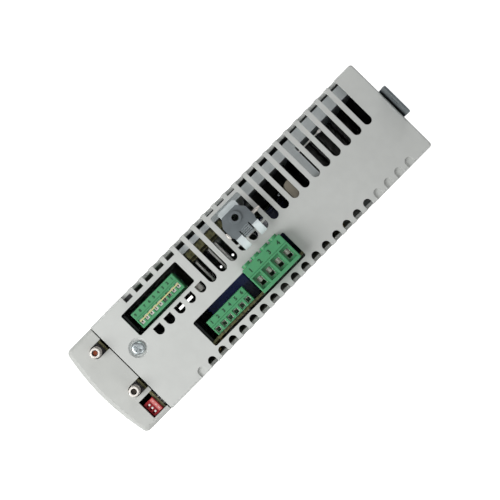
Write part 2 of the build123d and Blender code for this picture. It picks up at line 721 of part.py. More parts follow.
MOTOR_WELL = (6.4, (48.9, 58.4))
MOTOR_THROAT = (3.7, (50.9, 56.7))
MOTOR_MOUTH = (5.0, (49.9, 57.4))
MOTOR_GROOVE = 47.7
MOTOR_SCREW_Z = END_Z + 5.6
MOTOR_COLLAR_R = 3.0
MOTOR_HEAD_R = 2.3
MOTOR_SCREW_R = 1.5
MOTOR_WELL_DROP = 3.4
MOTOR_CAGE_TOP = MOTOR_SCREW_Z + 1.9
MOTOR_CAGE_LENGTH = 12.3
MOTOR_COLLAR_ACROSS = (39.6, 42.0)
MOTOR_HEAD_ACROSS = (40.4, 42.5)
MOTOR_SCREW_TIP = 54.2
BRAKE_WELL = (3.9, (53.9, 58.3))
BRAKE_THROAT = (3.1, (54.6, 57.8))
BRAKE_MOUTH = (3.5, (54.4, 58.0))
BRAKE_GROOVE = 52.6
BRAKE_WELL_DROP = 1.2
BRAKE_CAGE_DROP = 2.6
CONTROL_WELL = (3.0, (17.6, 22.0))
CONTROL_MOUTH = (2.4, (18.2, 21.6))
CONTROL_GROOVE = 16.6
CONTROL_WELL_DROP = 0.6
CONTROL_CAGE_DROP = 0.9
SMALL_SCREW_R = 1.0
SMALL_HEAD_R = 1.6
SMALL_HEAD_SEAT = 1.6
CAGE_TRAVEL = 2.6
CAGE_FLOOR = 3.0
CONTROL_CLOSED_WAYS = (5, 6)
BRAKE_CAGE_WALL = 0.45
BRAKE_SCREW_Z = END_Z - 4.2
CONTROL_CAGE_WALL = 0.85
CONTROL_SCREW_Z = END_Z - 2.6


def motor_plug_parts():
    """The four-way plug, its screws and its cages."""
    body = plug_body(MOTOR, MOTOR_WELL, MOTOR_THROAT, MOTOR_MOUTH, MOTOR_WELL_DROP, MOTOR_CAGE_TOP,
                     MOTOR_GROOVE)
    body += [rod_across(depth, MOTOR_SCREW_Z, MOTOR_COLLAR_ACROSS, MOTOR_COLLAR_R)
             for depth in MOTOR.way_depths()]
    head_hole = (MOTOR_COLLAR_ACROSS[0] - 1, MOTOR_HEAD_ACROSS[1] + 0.1)
    wall_hole = (MOTOR_COLLAR_ACROSS[1], MOTOR_MOUTH[1][0] + 0.6)
    cage_hole = (MOTOR_MOUTH[1][0] - 0.9, MOTOR_MOUTH[1][0] + 1.1)
    body -= screw_holes(MOTOR, MOTOR_SCREW_Z, MOTOR_HEAD_R + 0.1, head_hole)
    body -= screw_holes(MOTOR, MOTOR_SCREW_Z, MOTOR_SCREW_R + 0.1, wall_hole)
    cages = clamp_cages(MOTOR, MOTOR_MOUTH, 0.8, (MOTOR_CAGE_TOP - MOTOR_CAGE_LENGTH, MOTOR_CAGE_TOP))
    cages = [cage - rod_across(depth, MOTOR_SCREW_Z, cage_hole, MOTOR_SCREW_R + 0.1)
             for cage, depth in zip(cages, MOTOR.way_depths())]
    screws = terminal_screws(MOTOR, MOTOR_SCREW_Z, MOTOR_SCREW_R, MOTOR_HEAD_R, MOTOR_HEAD_ACROSS,
                             MOTOR_SCREW_TIP)
    return body, screws, cages


def small_plug_parts(terminal, openings, groove, drops, cage_wall, screw_z, lowered=()):
    """A plug with small screws sunk in its side.

    The openings are the well, the throat and the mouth; the drops are the well's depth
    and how far the cages sit below the top. The cages of the lowered ways are screwed down.
    """
    well, throat, mouth = openings
    well_drop, cage_drop = drops
    cage_top = terminal.top - cage_drop
    body = plug_body(terminal, well, throat, mouth, well_drop, cage_top, groove)
    side = terminal.body[0]
    cage_side = mouth[1][0]
    body -= screw_holes(terminal, screw_z, SMALL_HEAD_R + 0.05, (side - 1, side + SMALL_HEAD_SEAT))
    body -= screw_holes(terminal, screw_z, SMALL_SCREW_R + 0.05, (side + 1.0, cage_side + 0.4))
    cages = []
    for way, depth in enumerate(terminal.way_depths()):
        top = cage_top - CAGE_TRAVEL if way in lowered else cage_top
        cage = clamp_cages(terminal, mouth, cage_wall, (terminal.seat + CAGE_FLOOR, top))[way]
        hole = rod_across(depth, screw_z, (cage_side - 1, cage_side + 1.5), SMALL_SCREW_R + 0.05)
        cages.append(cage - hole)
    screws = terminal_screws(terminal, screw_z, SMALL_SCREW_R, SMALL_HEAD_R,
                             (side + 0.3, side + SMALL_HEAD_SEAT - 0.1), cage_side + 1.2)
    return body, screws, cages


MARKER_ACROSS = (18.7, 19.5)
MARKER_THICKNESS = 0.8
MARKER_INSET = 1.2


def control_plug_marker():
    """The pale strip let into the control plug, seen above the wire mouths."""
    top = CONTROL.top + 0.05
    return block(shrunk(CONTROL.ends, MARKER_INSET), MARKER_ACROSS, (top - MARKER_THICKNESS, top))


# ---- shield clamp ----
PLATE_Z = (END_Z + 12.0, END_Z + 13.5)
PLATE_DEPTHS = (124.5, 143.9)
PLATE_ACROSS = (10.6, 26.0)
FLANGE_DEPTHS = (127.9, 141.9)
FLANGE_ACROSS = (6.8, 12.4)
FLANGE_Z = (END_Z + 1.5, END_Z + 3.0)
STEM_ACROSS = (SINK_ACROSS + SINK_THIN, SINK_ACROSS + SINK_THIN + SHEET)
LEG_DEPTHS = ((125.3, 130.2), (138.5, 143.4))
NOTCH_ACROSS = 23.5
LEG_REACH = 34.6
LEG_FOOT_Z = END_Z + 7.0
COLLAR_PLACE = (134.5, 15.9)
COLLAR_R = 3.9
COLLAR_BORE_R = 2.2
COLLAR_RISE = 1.3
PIVOT_ACROSS = 21.3
PIVOT_Z = END_Z + 8.6
PIVOT_R = 1.0
EAR_ACROSS = (18.4, 23.0)
EAR_DROP = 7.0
STEM_SCREW_Z = (END_Z - 12.0, END_Z - 24.0)
STEM_HALF = 5.5
STEM_DROP = 30.0
RISER_HALF = 5.0
RISER_ACROSS = (FLANGE_ACROSS[1] - 0.4, FLANGE_ACROSS[1] + 1.1)
SCREW_R = 1.5


def eared_plate():
    """The clamp's top plate, widest at its two ears, with a notch between the legs."""
    centre = sum(PLATE_DEPTHS) / 2
    ear_half = (PLATE_DEPTHS[1] - PLATE_DEPTHS[0]) / 2
    half_outline = [
        (ear_half - 3.9, PLATE_ACROSS[0]),
        (ear_half, PLATE_ACROSS[0] + 4.9),
        (ear_half, PLATE_ACROSS[1] - 2.6),
        (ear_half - 1.4, PLATE_ACROSS[1]),
    ]
    points = [(x_at(across), y_at(centre + half)) for half, across in half_outline]
    points += [(x_at(across), y_at(centre - half)) for half, across in reversed(half_outline)]
    outline = make_face(Polyline(*points, close=True))
    plate = Pos(0, 0, PLATE_Z[0]) * extrude(outline, amount=PLATE_Z[1] - PLATE_Z[0])
    plate = fillet(plate.edges().filter_by(Axis.Z), 0.6)
    notch_depths = (LEG_DEPTHS[0][1], LEG_DEPTHS[1][0])
    return plate - block(notch_depths, (NOTCH_ACROSS, PLATE_ACROSS[1] + 1), (PLATE_Z[0] - 1, PLATE_Z[1] + 1))


def leg(depths):
    """A strap that slopes from the plate down to the end face."""
    high = (PLATE_ACROSS[1] - 0.6, PLATE_Z[1])
    low = (LEG_REACH, LEG_FOOT_Z + SHEET)
    points = [
        (x_at(high[0]), high[1]),
        (x_at(PLATE_ACROSS[1] + 1.0), PLATE_Z[1]),
        (x_at(low[0]), low[1]),
        (x_at(low[0]), LEG_FOOT_Z),
        (x_at(low[0] - 1.0), LEG_FOOT_Z),
        (x_at(PLATE_ACROSS[1]), PLATE_Z[0]),
        (x_at(high[0]), PLATE_Z[0]),
    ]
    side = Plane(origin=(0, y_at(depths[1]), 0), x_dir=(1, 0, 0), z_dir=(0, -1, 0))
    face = side * make_face(Polyline(*points, close=True))
    return extrude(face, amount=depths[1] - depths[0])


def shield_bracket():
    """One bent sheet: stem on the heat sink, flange, riser, eared plate and two legs."""
    centre = sum(FLANGE_DEPTHS) / 2
    flange = rounded_block(FLANGE_DEPTHS, FLANGE_ACROSS, FLANGE_Z, 1.6)
    stem = block((centre - STEM_HALF, centre + STEM_HALF), STEM_ACROSS, (END_Z - STEM_DROP, FLANGE_Z[1]))
    riser = block((centre - RISER_HALF, centre + RISER_HALF), RISER_ACROSS, (FLANGE_Z[0], PLATE_Z[1]))
    collar = post(*COLLAR_PLACE, (PLATE_Z[0], PLATE_Z[1] + COLLAR_RISE), COLLAR_R)
    bracket = eared_plate() + [flange, stem, riser, collar]
    bracket += [leg(depths) for depths in LEG_DEPTHS]
    for near in (PLATE_DEPTHS[0], PLATE_DEPTHS[1] - SHEET):
        ear = block((near, near + SHEET), EAR_ACROSS, (PLATE_Z[1] - EAR_DROP, PLATE_Z[1]))
        bracket += ear
    bracket -= rod_deep(PIVOT_ACROSS, PIVOT_Z, (PLATE_DEPTHS[0] - 1, PLATE_DEPTHS[1] + 1), PIVOT_R + 0.03)
    bracket -= post(*COLLAR_PLACE, (PLATE_Z[0] - 1, PLATE_Z[1] + 3), COLLAR_BORE_R)
    for z in STEM_SCREW_Z:
        bracket -= rod_across(centre, z, (STEM_ACROSS[0] - 1, STEM_ACROSS[1] + 1), 1.75)
    return bracket


def clamp_pin():
    """The pivot pin: a domed head at the front end, a drawn-out tip at the other."""
    rod = rod_deep(PIVOT_ACROSS, PIVOT_Z, (PLATE_DEPTHS[0] - FIT, PLATE_DEPTHS[1] + 3.2), PIVOT_R)
    head = rod_deep(PIVOT_ACROSS, PIVOT_Z, (PLATE_DEPTHS[0] - 1.9, PLATE_DEPTHS[0] - FIT), 2.3)
    head = fillet(head.edges().group_by(Axis.Y)[0], 0.7)
    tip_place = Pos(x_at(PIVOT_ACROSS), y_at(PLATE_DEPTHS[1] + 4.5), PIVOT_Z)
    tip = tip_place * Rot(-90, 0, 0) * Cone(PIVOT_R, 0.5, 2.6)
    return rod + head + tip


SADDLE_DEPTHS = (130.9, 137.8)
SADDLE_LENGTH = 8.4
SADDLE_TILT = 16.0
SADDLE_RIBS = 5
SADDLE_FIRST_RIB = 2.3
SADDLE_RIB_PITCH = 1.25
SADDLE_RIB_R = 0.42
KNUCKLE_R = 2.1


def clamp_saddle():
    """The ribbed spring saddle that swings on the pin and presses the cable shield."""
    width = SADDLE_DEPTHS[1] - SADDLE_DEPTHS[0]
    knuckle = Rot(90, 0, 0) * Cylinder(KNUCKLE_R, width)
    strip = Pos(SADDLE_LENGTH / 2, 0, -1.4) * Box(SADDLE_LENGTH, width, 1.2)
    saddle = knuckle + strip
    for step in range(SADDLE_RIBS):
        place = SADDLE_FIRST_RIB + SADDLE_RIB_PITCH * step
        saddle += Pos(place, 0, -0.85) * Rot(90, 0, 0) * Cylinder(SADDLE_RIB_R, width)
    saddle += Pos(SADDLE_LENGTH - 0.5, 0, -2.2) * Box(1.0, width, 1.6)
    saddle -= Rot(90, 0, 0) * Cylinder(PIVOT_R + 0.05, width + 2)
    place = Pos(x_at(PIVOT_ACROSS), y_at(sum(SADDLE_DEPTHS) / 2), PIVOT_Z)
    return place * Rot(0, SADDLE_TILT, 0) * saddle


# ---- chassis, boards and what stands on them ----
PARTITION_DEPTH = 189.0
PARTITION_ACROSS_END = 58.0
STEM_SCREW_TIP = 0.6
MODULE_SCREW_TIP = 1.0
PARTITION_FLANGE = 184.5
INNER_FAR = WIDTH - WALL
FIN_COUNT = 8
FIN_FIRST = 196.0
FIN_PITCH = 6.6
FIN_THICKNESS = 1.5
FIN_REACH = 52.0
FIN_Z = (-120.0, 0.0)
SINK_DEPTHS = (93.0, BODY_DEPTH - SHEET)
SINK_STEP_DEPTH = 148.0
SINK_REAR_STEP_DEPTH = 195.0
SINK_REAR_ACROSS = 3.6
REAR_SCREW_Z = (-120.0, -40.0, 40.0, 120.0)
REAR_SCREW_ACROSS = 8.3
REAR_SCREW_LENGTH = 9.0
REAR_HOLE_R = 1.6


def heat_sink():
    """The aluminium side plate, thicker towards the rear, with upright fins behind the partition."""
    sink = block(SINK_DEPTHS, (SINK_ACROSS, SINK_ACROSS + SINK_THIN), (-SINK_TOP, SINK_TOP))
    sink += block((SINK_STEP_DEPTH, SINK_DEPTHS[1]), (SINK_ACROSS, SINK_ACROSS + SINK_THICK),
                  (-SINK_TOP, SINK_TOP))
    sink += block((SINK_REAR_STEP_DEPTH, SINK_DEPTHS[1]), (SINK_REAR_ACROSS, SINK_ACROSS + 1),
                  (-SINK_TOP, SINK_TOP))
    fins = []
    for step in range(FIN_COUNT):
        depth = FIN_FIRST + FIN_PITCH * step
        fins.append(block((depth, depth + FIN_THICKNESS), (SINK_ACROSS + SINK_THICK - 1, FIN_REACH), FIN_Z))
    sink += fins
    for z in REAR_SCREW_Z:
        sink -= rod_deep(REAR_SCREW_ACROSS, z, (BODY_DEPTH - REAR_SCREW_LENGTH, SINK_DEPTHS[1] + 1), SCREW_R)
    centre = sum(FLANGE_DEPTHS) / 2
    for z in STEM_SCREW_Z:
        sink -= rod_across(centre, z, (SINK_ACROSS + STEM_SCREW_TIP, SINK_ACROSS + SINK_THICK), SCREW_R)
    for depth, z in MODULE_SCREWS:
        sink -= rod_across(depth, z, (SINK_ACROSS + MODULE_SCREW_TIP, SINK_ACROSS + SINK_THICK + 1), SCREW_R)
    return sink


def chassis_partition():
    """The sheet that parts the fin duct from the electronics, flanged at its top and bottom."""
    wall = block((PARTITION_DEPTH, PARTITION_DEPTH + SHEET),
                 (SINK_ACROSS + SINK_THICK, PARTITION_ACROSS_END), (-SINK_TOP, SINK_TOP))
    flange = block((PARTITION_FLANGE, PARTITION_DEPTH + SHEET), (SINK_ACROSS, PARTITION_ACROSS_END),
                   (SINK_TOP, SINK_TOP + SHEET))
    return wall + flange + flipped(flange)


def rear_plate():
    """The sheet that closes the rear and carries the heat sink and the mounting bracket."""
    gap = 0.2
    plate = block((BODY_DEPTH - SHEET, BODY_DEPTH), (WALL + gap, WIDTH - WALL - gap),
                  (-END_Z + WALL + gap, END_Z - WALL - gap))
    holes = []
    for z in REAR_SCREW_Z:
        holes.append(rod_deep(REAR_SCREW_ACROSS, z, (BODY_DEPTH - 3, BODY_DEPTH + 1), REAR_HOLE_R))
    for z in BRACKET_RIVET_Z:
        holes.append(rod_deep(WIDTH / 2, z, (BODY_DEPTH - 3, BODY_DEPTH + 1), REAR_HOLE_R))
    for across in VENT_ACROSS:
        for z in VENT_Z:
            holes.append(block((BODY_DEPTH - 3, BODY_DEPTH + 1),
                               (across - VENT_HALF_WIDTH, across + VENT_HALF_WIDTH),
                               (z - VENT_HALF_LENGTH, z + VENT_HALF_LENGTH)))
    return plate - holes


BRACKET_RIVET_Z = (-130.0, -45.0, 45.0, 130.0)
VENT_ACROSS = (52.0, 57.0, 62.0)
VENT_Z = (-84.0, -28.0, 28.0, 84.0)
VENT_HALF_WIDTH = 1.5
VENT_HALF_LENGTH = 11.0
JOGGLE_Z = 143.0
JOGGLE_RISE = 5.0


def mounting_bracket():
    """A strap on the rear plate whose two ends step back to the mounting plane as tabs."""
    half = TAB_WIDTH / 2
    acrosses = (WIDTH / 2 - half, WIDTH / 2 + half)
    strap = block((BODY_DEPTH, BODY_DEPTH + SHEET), acrosses, (-JOGGLE_Z, JOGGLE_Z))
    points = [
        (y_at(BODY_DEPTH), JOGGLE_Z),
        (y_at(BODY_DEPTH + SHEET), JOGGLE_Z),
        (0, JOGGLE_Z + JOGGLE_RISE),
        (0, END_Z + TAB_LENGTH),
        (-SHEET, END_Z + TAB_LENGTH),
        (-SHEET, JOGGLE_Z + JOGGLE_RISE + 0.5),
    ]
    side = Plane(origin=(-half, 0, 0), x_dir=(0, 1, 0), z_dir=(1, 0, 0))
    tab = extrude(side * make_face(Polyline(*points, close=True)), amount=TAB_WIDTH)
    corners = [edge for edge in tab.edges().filter_by(Axis.Y) if edge.center().Z > END_Z + TAB_LENGTH - 0.1]
    tab = fillet(corners, 3.0)
    tab -= rod_deep(WIDTH / 2, MOUNT_HOLE_Z, (BODY_DEPTH, BODY_DEPTH + MOUNT_GAP + 1), MOUNT_HOLE_R)
    bracket = strap + tab + flipped(tab)
    for z in BRACKET_RIVET_Z:
        bracket -= rod_deep(WIDTH / 2, z, (BODY_DEPTH - 1, BODY_DEPTH + 4), REAR_HOLE_R)
    return bracket


def bracket_rivets():
    """The rivets that hold the bracket to the rear plate."""
    rivets = []
    for z in BRACKET_RIVET_Z:
        shank = rod_deep(WIDTH / 2, z, (BODY_DEPTH - SHEET, BODY_DEPTH + SHEET), 1.55)
        head = rod_deep(WIDTH / 2, z, (BODY_DEPTH + SHEET, BODY_DEPTH + SHEET + 1.1), 3.0)
        head = fillet(head.edges().group_by(Axis.Y)[-1], 0.6)
        rivets.append(shank + head)
    return group(rivets)


def rear_plate_screws():
    """The screws that hold the rear plate to the edge of the heat sink."""
    screws = []
    for z in REAR_SCREW_Z:
        shank = rod_deep(REAR_SCREW_ACROSS, z, (BODY_DEPTH - REAR_SCREW_LENGTH, BODY_DEPTH), SCREW_R)
        head = rod_deep(REAR_SCREW_ACROSS, z, (BODY_DEPTH, BODY_DEPTH + 2.0), 2.9)
        head = fillet(head.edges().group_by(Axis.Y)[-1], 0.7)
        screw = shank + head
        recess = Pos(x_at(REAR_SCREW_ACROSS), y_at(BODY_DEPTH + 1.6), z)
        for turn in (0, 90):
            screw -= recess * Rot(0, turn, 0) * Box(3.2, 1.4, 0.7)
        screws.append(screw)
    return group(screws)


HEAD_HEIGHT = 2.7
HEAD_RADIUS = 4.25
HOUSING_SCREW_LENGTH = 13.0
RECESS_TURNS = (20, 110)
RECESS_SIZE = (4.6, 1.1, 3.0)


def housing_screw():
    """The cross-recess screw in the dish of the end face."""
    head_low = END_Z - DISH_DEPTH
    head_high = head_low + HEAD_HEIGHT
    screw = post(SCREW_DEPTH, SCREW_ACROSS, (head_low, head_high), HEAD_RADIUS)
    screw = fillet(screw.edges().group_by(Axis.Z)[-1], 1.4)
    screw += post(SCREW_DEPTH, SCREW_ACROSS, (head_low - HOUSING_SCREW_LENGTH, head_low), SCREW_SHANK_R)
    recess = Pos(x_at(SCREW_ACROSS), y_at(SCREW_DEPTH), head_high)
    for turn in RECESS_TURNS:
        screw -= recess * Rot(0, 0, turn) * Box(*RECESS_SIZE)
    return screw


POWER_BOARD_DEPTHS = (60.0, 184.0)
POWER_BOARD_REACH = (POWER_BOARD_ACROSS - 1, POWER_BOARD_ACROSS + BOARD + 1)


def power_board():
    """The main board, along the plain side."""
    board = block(POWER_BOARD_DEPTHS, (POWER_BOARD_ACROSS, POWER_BOARD_ACROSS + BOARD),
                  (-BOARD_TOP, BOARD_TOP))
    holes = []
    for depth in STANDOFF_DEPTHS:
        for z in STANDOFF_Z:
            holes.append(rod_across(depth, z, POWER_BOARD_REACH, SCREW_R + 0.1))
    for terminal in (MOTOR, BRAKE):
        for depth in terminal.way_depths():
            low = terminal.seat - HEADER_DEPTH
            hole = block((depth - PIN_HALF, depth + PIN_HALF), POWER_BOARD_REACH, (low - LEG_HEIGHT, low))
            holes.append(hole)
            if terminal is MOTOR:
                holes.append(flipped(hole))
    return board - holes


STANDOFF_DEPTHS = (66.0, 178.0)
STANDOFF_Z = (-138.0, 0.0, 100.0)
SMALL_SCREW_HEAD_R = 2.8


def board_standoffs():
    """Hexagonal spacers between the power board and the housing's plain side."""
    spacers = []
    for depth in STANDOFF_DEPTHS:
        for z in STANDOFF_Z:
            near = POWER_BOARD_ACROSS + BOARD
            centre = (x_at(near), y_at(depth), z)
            hexagon = Plane(origin=centre, x_dir=(0, 1, 0), z_dir=(1, 0, 0)) * RegularPolygon(3.2, 6)
            spacer = extrude(hexagon, amount=INNER_FAR - near)
            screw = rod_across(depth, z, (POWER_BOARD_ACROSS, near), SCREW_R)
            head = rod_across(depth, z, (POWER_BOARD_ACROSS - 2.0, POWER_BOARD_ACROSS), SMALL_SCREW_HEAD_R)
            spacers.append(spacer + screw + head)
    return group(spacers)


CONTROL_BOARD_ACROSS = (4.0, 66.0)
CONTROL_BOARD_Z = (-145.0, BOARD_TOP + 1.5)


def control_board():
    """The board behind the front cover, for the display, the ports and the switch."""
    board = block((CONTROL_BOARD_DEPTH, CONTROL_BOARD_DEPTH + BOARD), CONTROL_BOARD_ACROSS, CONTROL_BOARD_Z)
    reach = (CONTROL_BOARD_DEPTH - 1, CONTROL_BOARD_DEPTH + BOARD + 1)
    holes = [rod_deep(across, z, reach, SCREW_R) for across in BOARD_POST_ACROSS for z in BOARD_POST_Z]
    for across in LEVER_ACROSS:
        for z in DIP_PIN_Z:
            holes.append(rod_deep(across, z, reach, DIP_PIN_R))
    return board - holes


def control_board_screws():
    """The screws that hold the control board to the posts of the front cover."""
    screws = []
    near = CONTROL_BOARD_DEPTH + BOARD
    for across in BOARD_POST_ACROSS:
        for z in BOARD_POST_Z:
            head = rod_deep(across, z, (near, near + 1.8), 2.6)
            screws.append(head + rod_deep(across, z, (CONTROL_BOARD_DEPTH, near), 1.45))
    return group(screws)


IO_BOARD_DEPTHS = (44.5, 91.0)
IO_BOARD_Z = (40.0, BOARD_TOP)


def io_board():
    """The board that carries the control header."""
    board = block(IO_BOARD_DEPTHS, (IO_BOARD_ACROSS, IO_BOARD_ACROSS + BOARD), IO_BOARD_Z)
    low = CONTROL.seat - HEADER_DEPTH
    for depth in CONTROL.way_depths():
        board -= block((depth - PIN_HALF, depth + PIN_HALF),
                       (IO_BOARD_ACROSS - 1, IO_BOARD_ACROSS + BOARD + 1), (low - LEG_HEIGHT, low))
    return board


BAR_DEPTHS = (97.9, 109.0, 114.8)
BAR_THICKNESS = 1.3
BAR_Z = (70.0, 132.0)
BAR_ACROSS = (17.3, 33.2)
BAR_FOOT_Z = (70.0, 96.0)
DRIVER_DEPTHS = (96.5, 127.0)
DRIVER_THICKNESS = 0.9
DRIVER_Z = (-60.0, 128.0)
DRIVER_STRIP_ACROSS = (9.2, 13.7)
DRIVER_STRIP_TOP = 138.0
DRIVER_WEB = 1.4
DRIVER_RAIL_Z = (122.0, 124.0)


def driver_board():
    """The gate driver: an upright board with a flat strip carried beside it."""
    web_across = (DRIVER_STRIP_ACROSS[1] - DRIVER_WEB, DRIVER_STRIP_ACROSS[1])
    upright = block(DRIVER_DEPTHS, (DRIVER_BOARD_ACROSS, DRIVER_BOARD_ACROSS + DRIVER_THICKNESS), DRIVER_Z)
    strip = block(DRIVER_DEPTHS, DRIVER_STRIP_ACROSS, (DRIVER_STRIP_TOP - BOARD, DRIVER_STRIP_TOP))
    web = block(DRIVER_DEPTHS, web_across, (DRIVER_RAIL_Z[0], DRIVER_STRIP_TOP))
    rail = block(DRIVER_DEPTHS, (web_across[0], DRIVER_BOARD_ACROSS), DRIVER_RAIL_Z)
    return upright + strip + web + rail


def bus_bars():
    """Three tinned bars that stand on the driver board."""
    bars = []
    board_face = DRIVER_BOARD_ACROSS + DRIVER_THICKNESS
    for depth in BAR_DEPTHS:
        thickness = (depth - BAR_THICKNESS / 2, depth + BAR_THICKNESS / 2)
        foot = block(thickness, (board_face, BAR_ACROSS[0]), BAR_FOOT_Z)
        bars.append(block(thickness, BAR_ACROSS, BAR_Z) + foot)
    return group(bars)


CAN_Z = (99.0, 66.0, 33.0)
CAN_DEPTH = 151.5
CAN_ACROSS = (26.0, POWER_BOARD_ACROSS)
CAN_R = 15.0
CAN_CREASE_ACROSS = 28.6
FILM_DEPTHS = (81.5, 113.9)
FILM_ACROSS = (36.0, POWER_BOARD_ACROSS)
FILM_Z = (96.0, 124.0)
SUPPRESSION_DEPTHS = (168.9, 177.5)
SUPPRESSION_ACROSS = (22.0, POWER_BOARD_ACROSS)
SUPPRESSION_Z = (112.0, 142.0)
FRAME_DEPTHS = (66.0, 98.0)
FRAME_ACROSS = (38.0, POWER_BOARD_ACROSS)
FRAME_Z = (20.0, 52.0)
WINDING_FRONTS = (71.0, 86.5)
WINDING_DEPTH = 6.5
WINDING_ACROSS = (38.5, 55.8)
WINDING_OVERHANG = 2.5


def bus_capacitors():
    """Three sleeved cans that lie across the drive, standing on the power board."""
    cans = []
    for z in CAN_Z:
        can = rod_across(CAN_DEPTH, z, CAN_ACROSS, CAN_R)
        can = fillet(can.edges().group_by(Axis.X)[0], 1.6)
        crease = Pos(x_at(CAN_CREASE_ACROSS), y_at(CAN_DEPTH), z) * Rot(0, 90, 0) * Torus(CAN_R, 0.6)
        cans.append(can - crease)
    return group(cans)


def film_capacitor():
    """The dark blue film capacitor beside the brake and motor headers."""
    body = block(FILM_DEPTHS, FILM_ACROSS, FILM_Z)
    return fillet(body.edges().filter_by(Axis.X), 1.0)


def suppression_capacitor():
    """A dipped capacitor with rounded edges."""
    body = block(SUPPRESSION_DEPTHS, SUPPRESSION_ACROSS, SUPPRESSION_Z)
    return fillet(body.edges().filter_by(Axis.Z), 3.8)


def transformer():
    """The supply transformer: a ferrite frame and the two halves of its winding."""
    frame = block(FRAME_DEPTHS, FRAME_ACROSS, FRAME_Z)
    pieces = []
    for front in WINDING_FRONTS:
        space = (front, front + WINDING_DEPTH)
        frame -= block(space, (FRAME_ACROSS[0] - 1, WINDING_ACROSS[1] + 0.2), shrunk(FRAME_Z, -1.0))
        heights = shrunk(FRAME_Z, -WINDING_OVERHANG)
        pieces.append(rounded_block(shrunk(space, 0.2), WINDING_ACROSS, heights, 1.5))
    pieces.append(frame)
    return group(pieces)


MODULE_DEPTHS = (152.0, 184.0)
MODULE_Z = (-30.0, 40.0)
MODULE_HEIGHT = 11.0
MODULE_SCREWS = ((168.0, -24.0), (168.0, 34.0))


def power_module():
    """The black power module bolted to the heat sink."""
    near = SINK_ACROSS + SINK_THICK
    body = block(MODULE_DEPTHS, (near, near + MODULE_HEIGHT), MODULE_Z)
    body = chamfer(body.faces().sort_by(Axis.X)[-1].edges(), 1.0)
    for depth, z in MODULE_SCREWS:
        body -= rod_across(depth, z, (near - 1, near + MODULE_HEIGHT + 1), 1.6)
    return body


def heat_sink_screws():
    """The screws that hold the shield bracket and the power module to the heat sink."""
    near = SINK_ACROSS + SINK_THICK
    centre = sum(FLANGE_DEPTHS) / 2
    places = [(centre, z, SINK_ACROSS + STEM_SCREW_TIP, STEM_ACROSS[1]) for z in STEM_SCREW_Z]
    places += [(depth, z, SINK_ACROSS + MODULE_SCREW_TIP, near + MODULE_HEIGHT) for depth, z in MODULE_SCREWS]
    screws = []
    for depth, z, tip, seat in places:
        shank = rod_across(depth, z, (tip, seat), SCREW_R)
        screws.append(shank + rod_across(depth, z, (seat, seat + 2.2), SMALL_SCREW_HEAD_R))
    return group(screws)


# ---- write every node ----
motor_body, motor_screws, motor_cages = motor_plug_parts()
brake_body, brake_screws, brake_cages = small_plug_parts(
    BRAKE, (BRAKE_WELL, BRAKE_THROAT, BRAKE_MOUTH), BRAKE_GROOVE,
    (BRAKE_WELL_DROP, BRAKE_CAGE_DROP), BRAKE_CAGE_WALL, BRAKE_SCREW_Z)
control_body, control_screws, control_cages = small_plug_parts(
    CONTROL, (CONTROL_WELL, CONTROL_MOUTH, CONTROL_MOUTH), CONTROL_GROOVE,
    (CONTROL_WELL_DROP, CONTROL_CAGE_DROP), CONTROL_CAGE_WALL, CONTROL_SCREW_Z, CONTROL_CLOSED_WAYS)
marker = control_plug_marker()
mains_screws = [flipped(screw) for screw in motor_screws]
mains_cages = [flipped(cage) for cage in motor_cages]
pins = header_pins(MOTOR) + header_pins(BRAKE) + header_pins(CONTROL)
pins += [flipped(pin) for pin in header_pins(MOTOR)]

nodes = {
    "main_housing": main_housing(),
    "front_cover": front_cover(),
    "display_window": display_window(),
    "display_module": display_module(),
    "status_light_pipes": status_light_pipes(),
    "service_socket": service_socket(),
    "encoder_socket_shell": encoder_socket_shell(),
    "encoder_socket_insert": encoder_socket_insert(),
    "encoder_jack_posts": encoder_jack_posts(),
    "label_plate": label_plate(),
    "fibre_port_housings": group([port_housing(across) for across in PORT_ACROSS]),
    "fibre_port_barrels": group([port_barrel(across) for across in PORT_ACROSS]),
    "fibre_transmitter_core": port_core(PORT_ACROSS[0]),
    "fibre_receiver_core": port_core(PORT_ACROSS[1]),
    "dip_switch_body": dip_switch_body(),
    "dip_switch_pins": dip_switch_pins(),
    "motor_header": header(MOTOR),
    "brake_header": header(BRAKE),
    "control_header": header(CONTROL),
    "mains_header": flipped(header(MOTOR)),
    "header_pins": group(pins),
    "motor_plug": motor_body,
    "motor_plug_screws": group(motor_screws),
    "motor_plug_cages": group(motor_cages),
    "brake_plug": brake_body,
    "brake_plug_screws": group(brake_screws),
    "brake_plug_cages": group(brake_cages),
    "control_plug": control_body - marker,
    "control_plug_marker": marker,
    "control_plug_screws": group(control_screws),
    "control_plug_cages": group([cage - marker for cage in control_cages]),
    "mains_plug": flipped(motor_body),
    "mains_plug_screws": group(mains_screws),
    "mains_plug_cages": group(mains_cages),
    "shield_bracket": shield_bracket(),
    "clamp_pin": clamp_pin(),
    "clamp_saddle": clamp_saddle(),
    "heat_sink": heat_sink(),
    "chassis_partition": chassis_partition(),
    "rear_plate": rear_plate(),
    "rear_plate_screws": rear_plate_screws(),
    "mounting_bracket": mounting_bracket(),
    "bracket_rivets": bracket_rivets(),
    "housing_screws": group([housing_screw(), flipped(housing_screw())]),
    "power_board": power_board(),
    "board_standoffs": board_standoffs(),
    "control_board": control_board(),
    "control_board_screws": control_board_screws(),
    "io_board": io_board(),
    "driver_board": driver_board(),
    "bus_bars": bus_bars(),
    "bus_capacitors": bus_capacitors(),
    "film_capacitor": film_capacitor(),
    "suppression_capacitor": suppression_capacitor(),
    "transformer": transformer(),
    "power_module": power_module(),
    "heat_sink_screws": heat_sink_screws(),
}
for number, across in enumerate(LEVER_ACROSS, start=1):
    nodes[f"dip_lever_{number}"] = dip_lever(across)

for name, shape in nodes.items():
    save(name, shape)
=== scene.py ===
"""Looks of the book-form servo drive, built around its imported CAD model."""

import math
import random

import bmesh
import bpy
from mathutils import Matrix, Vector


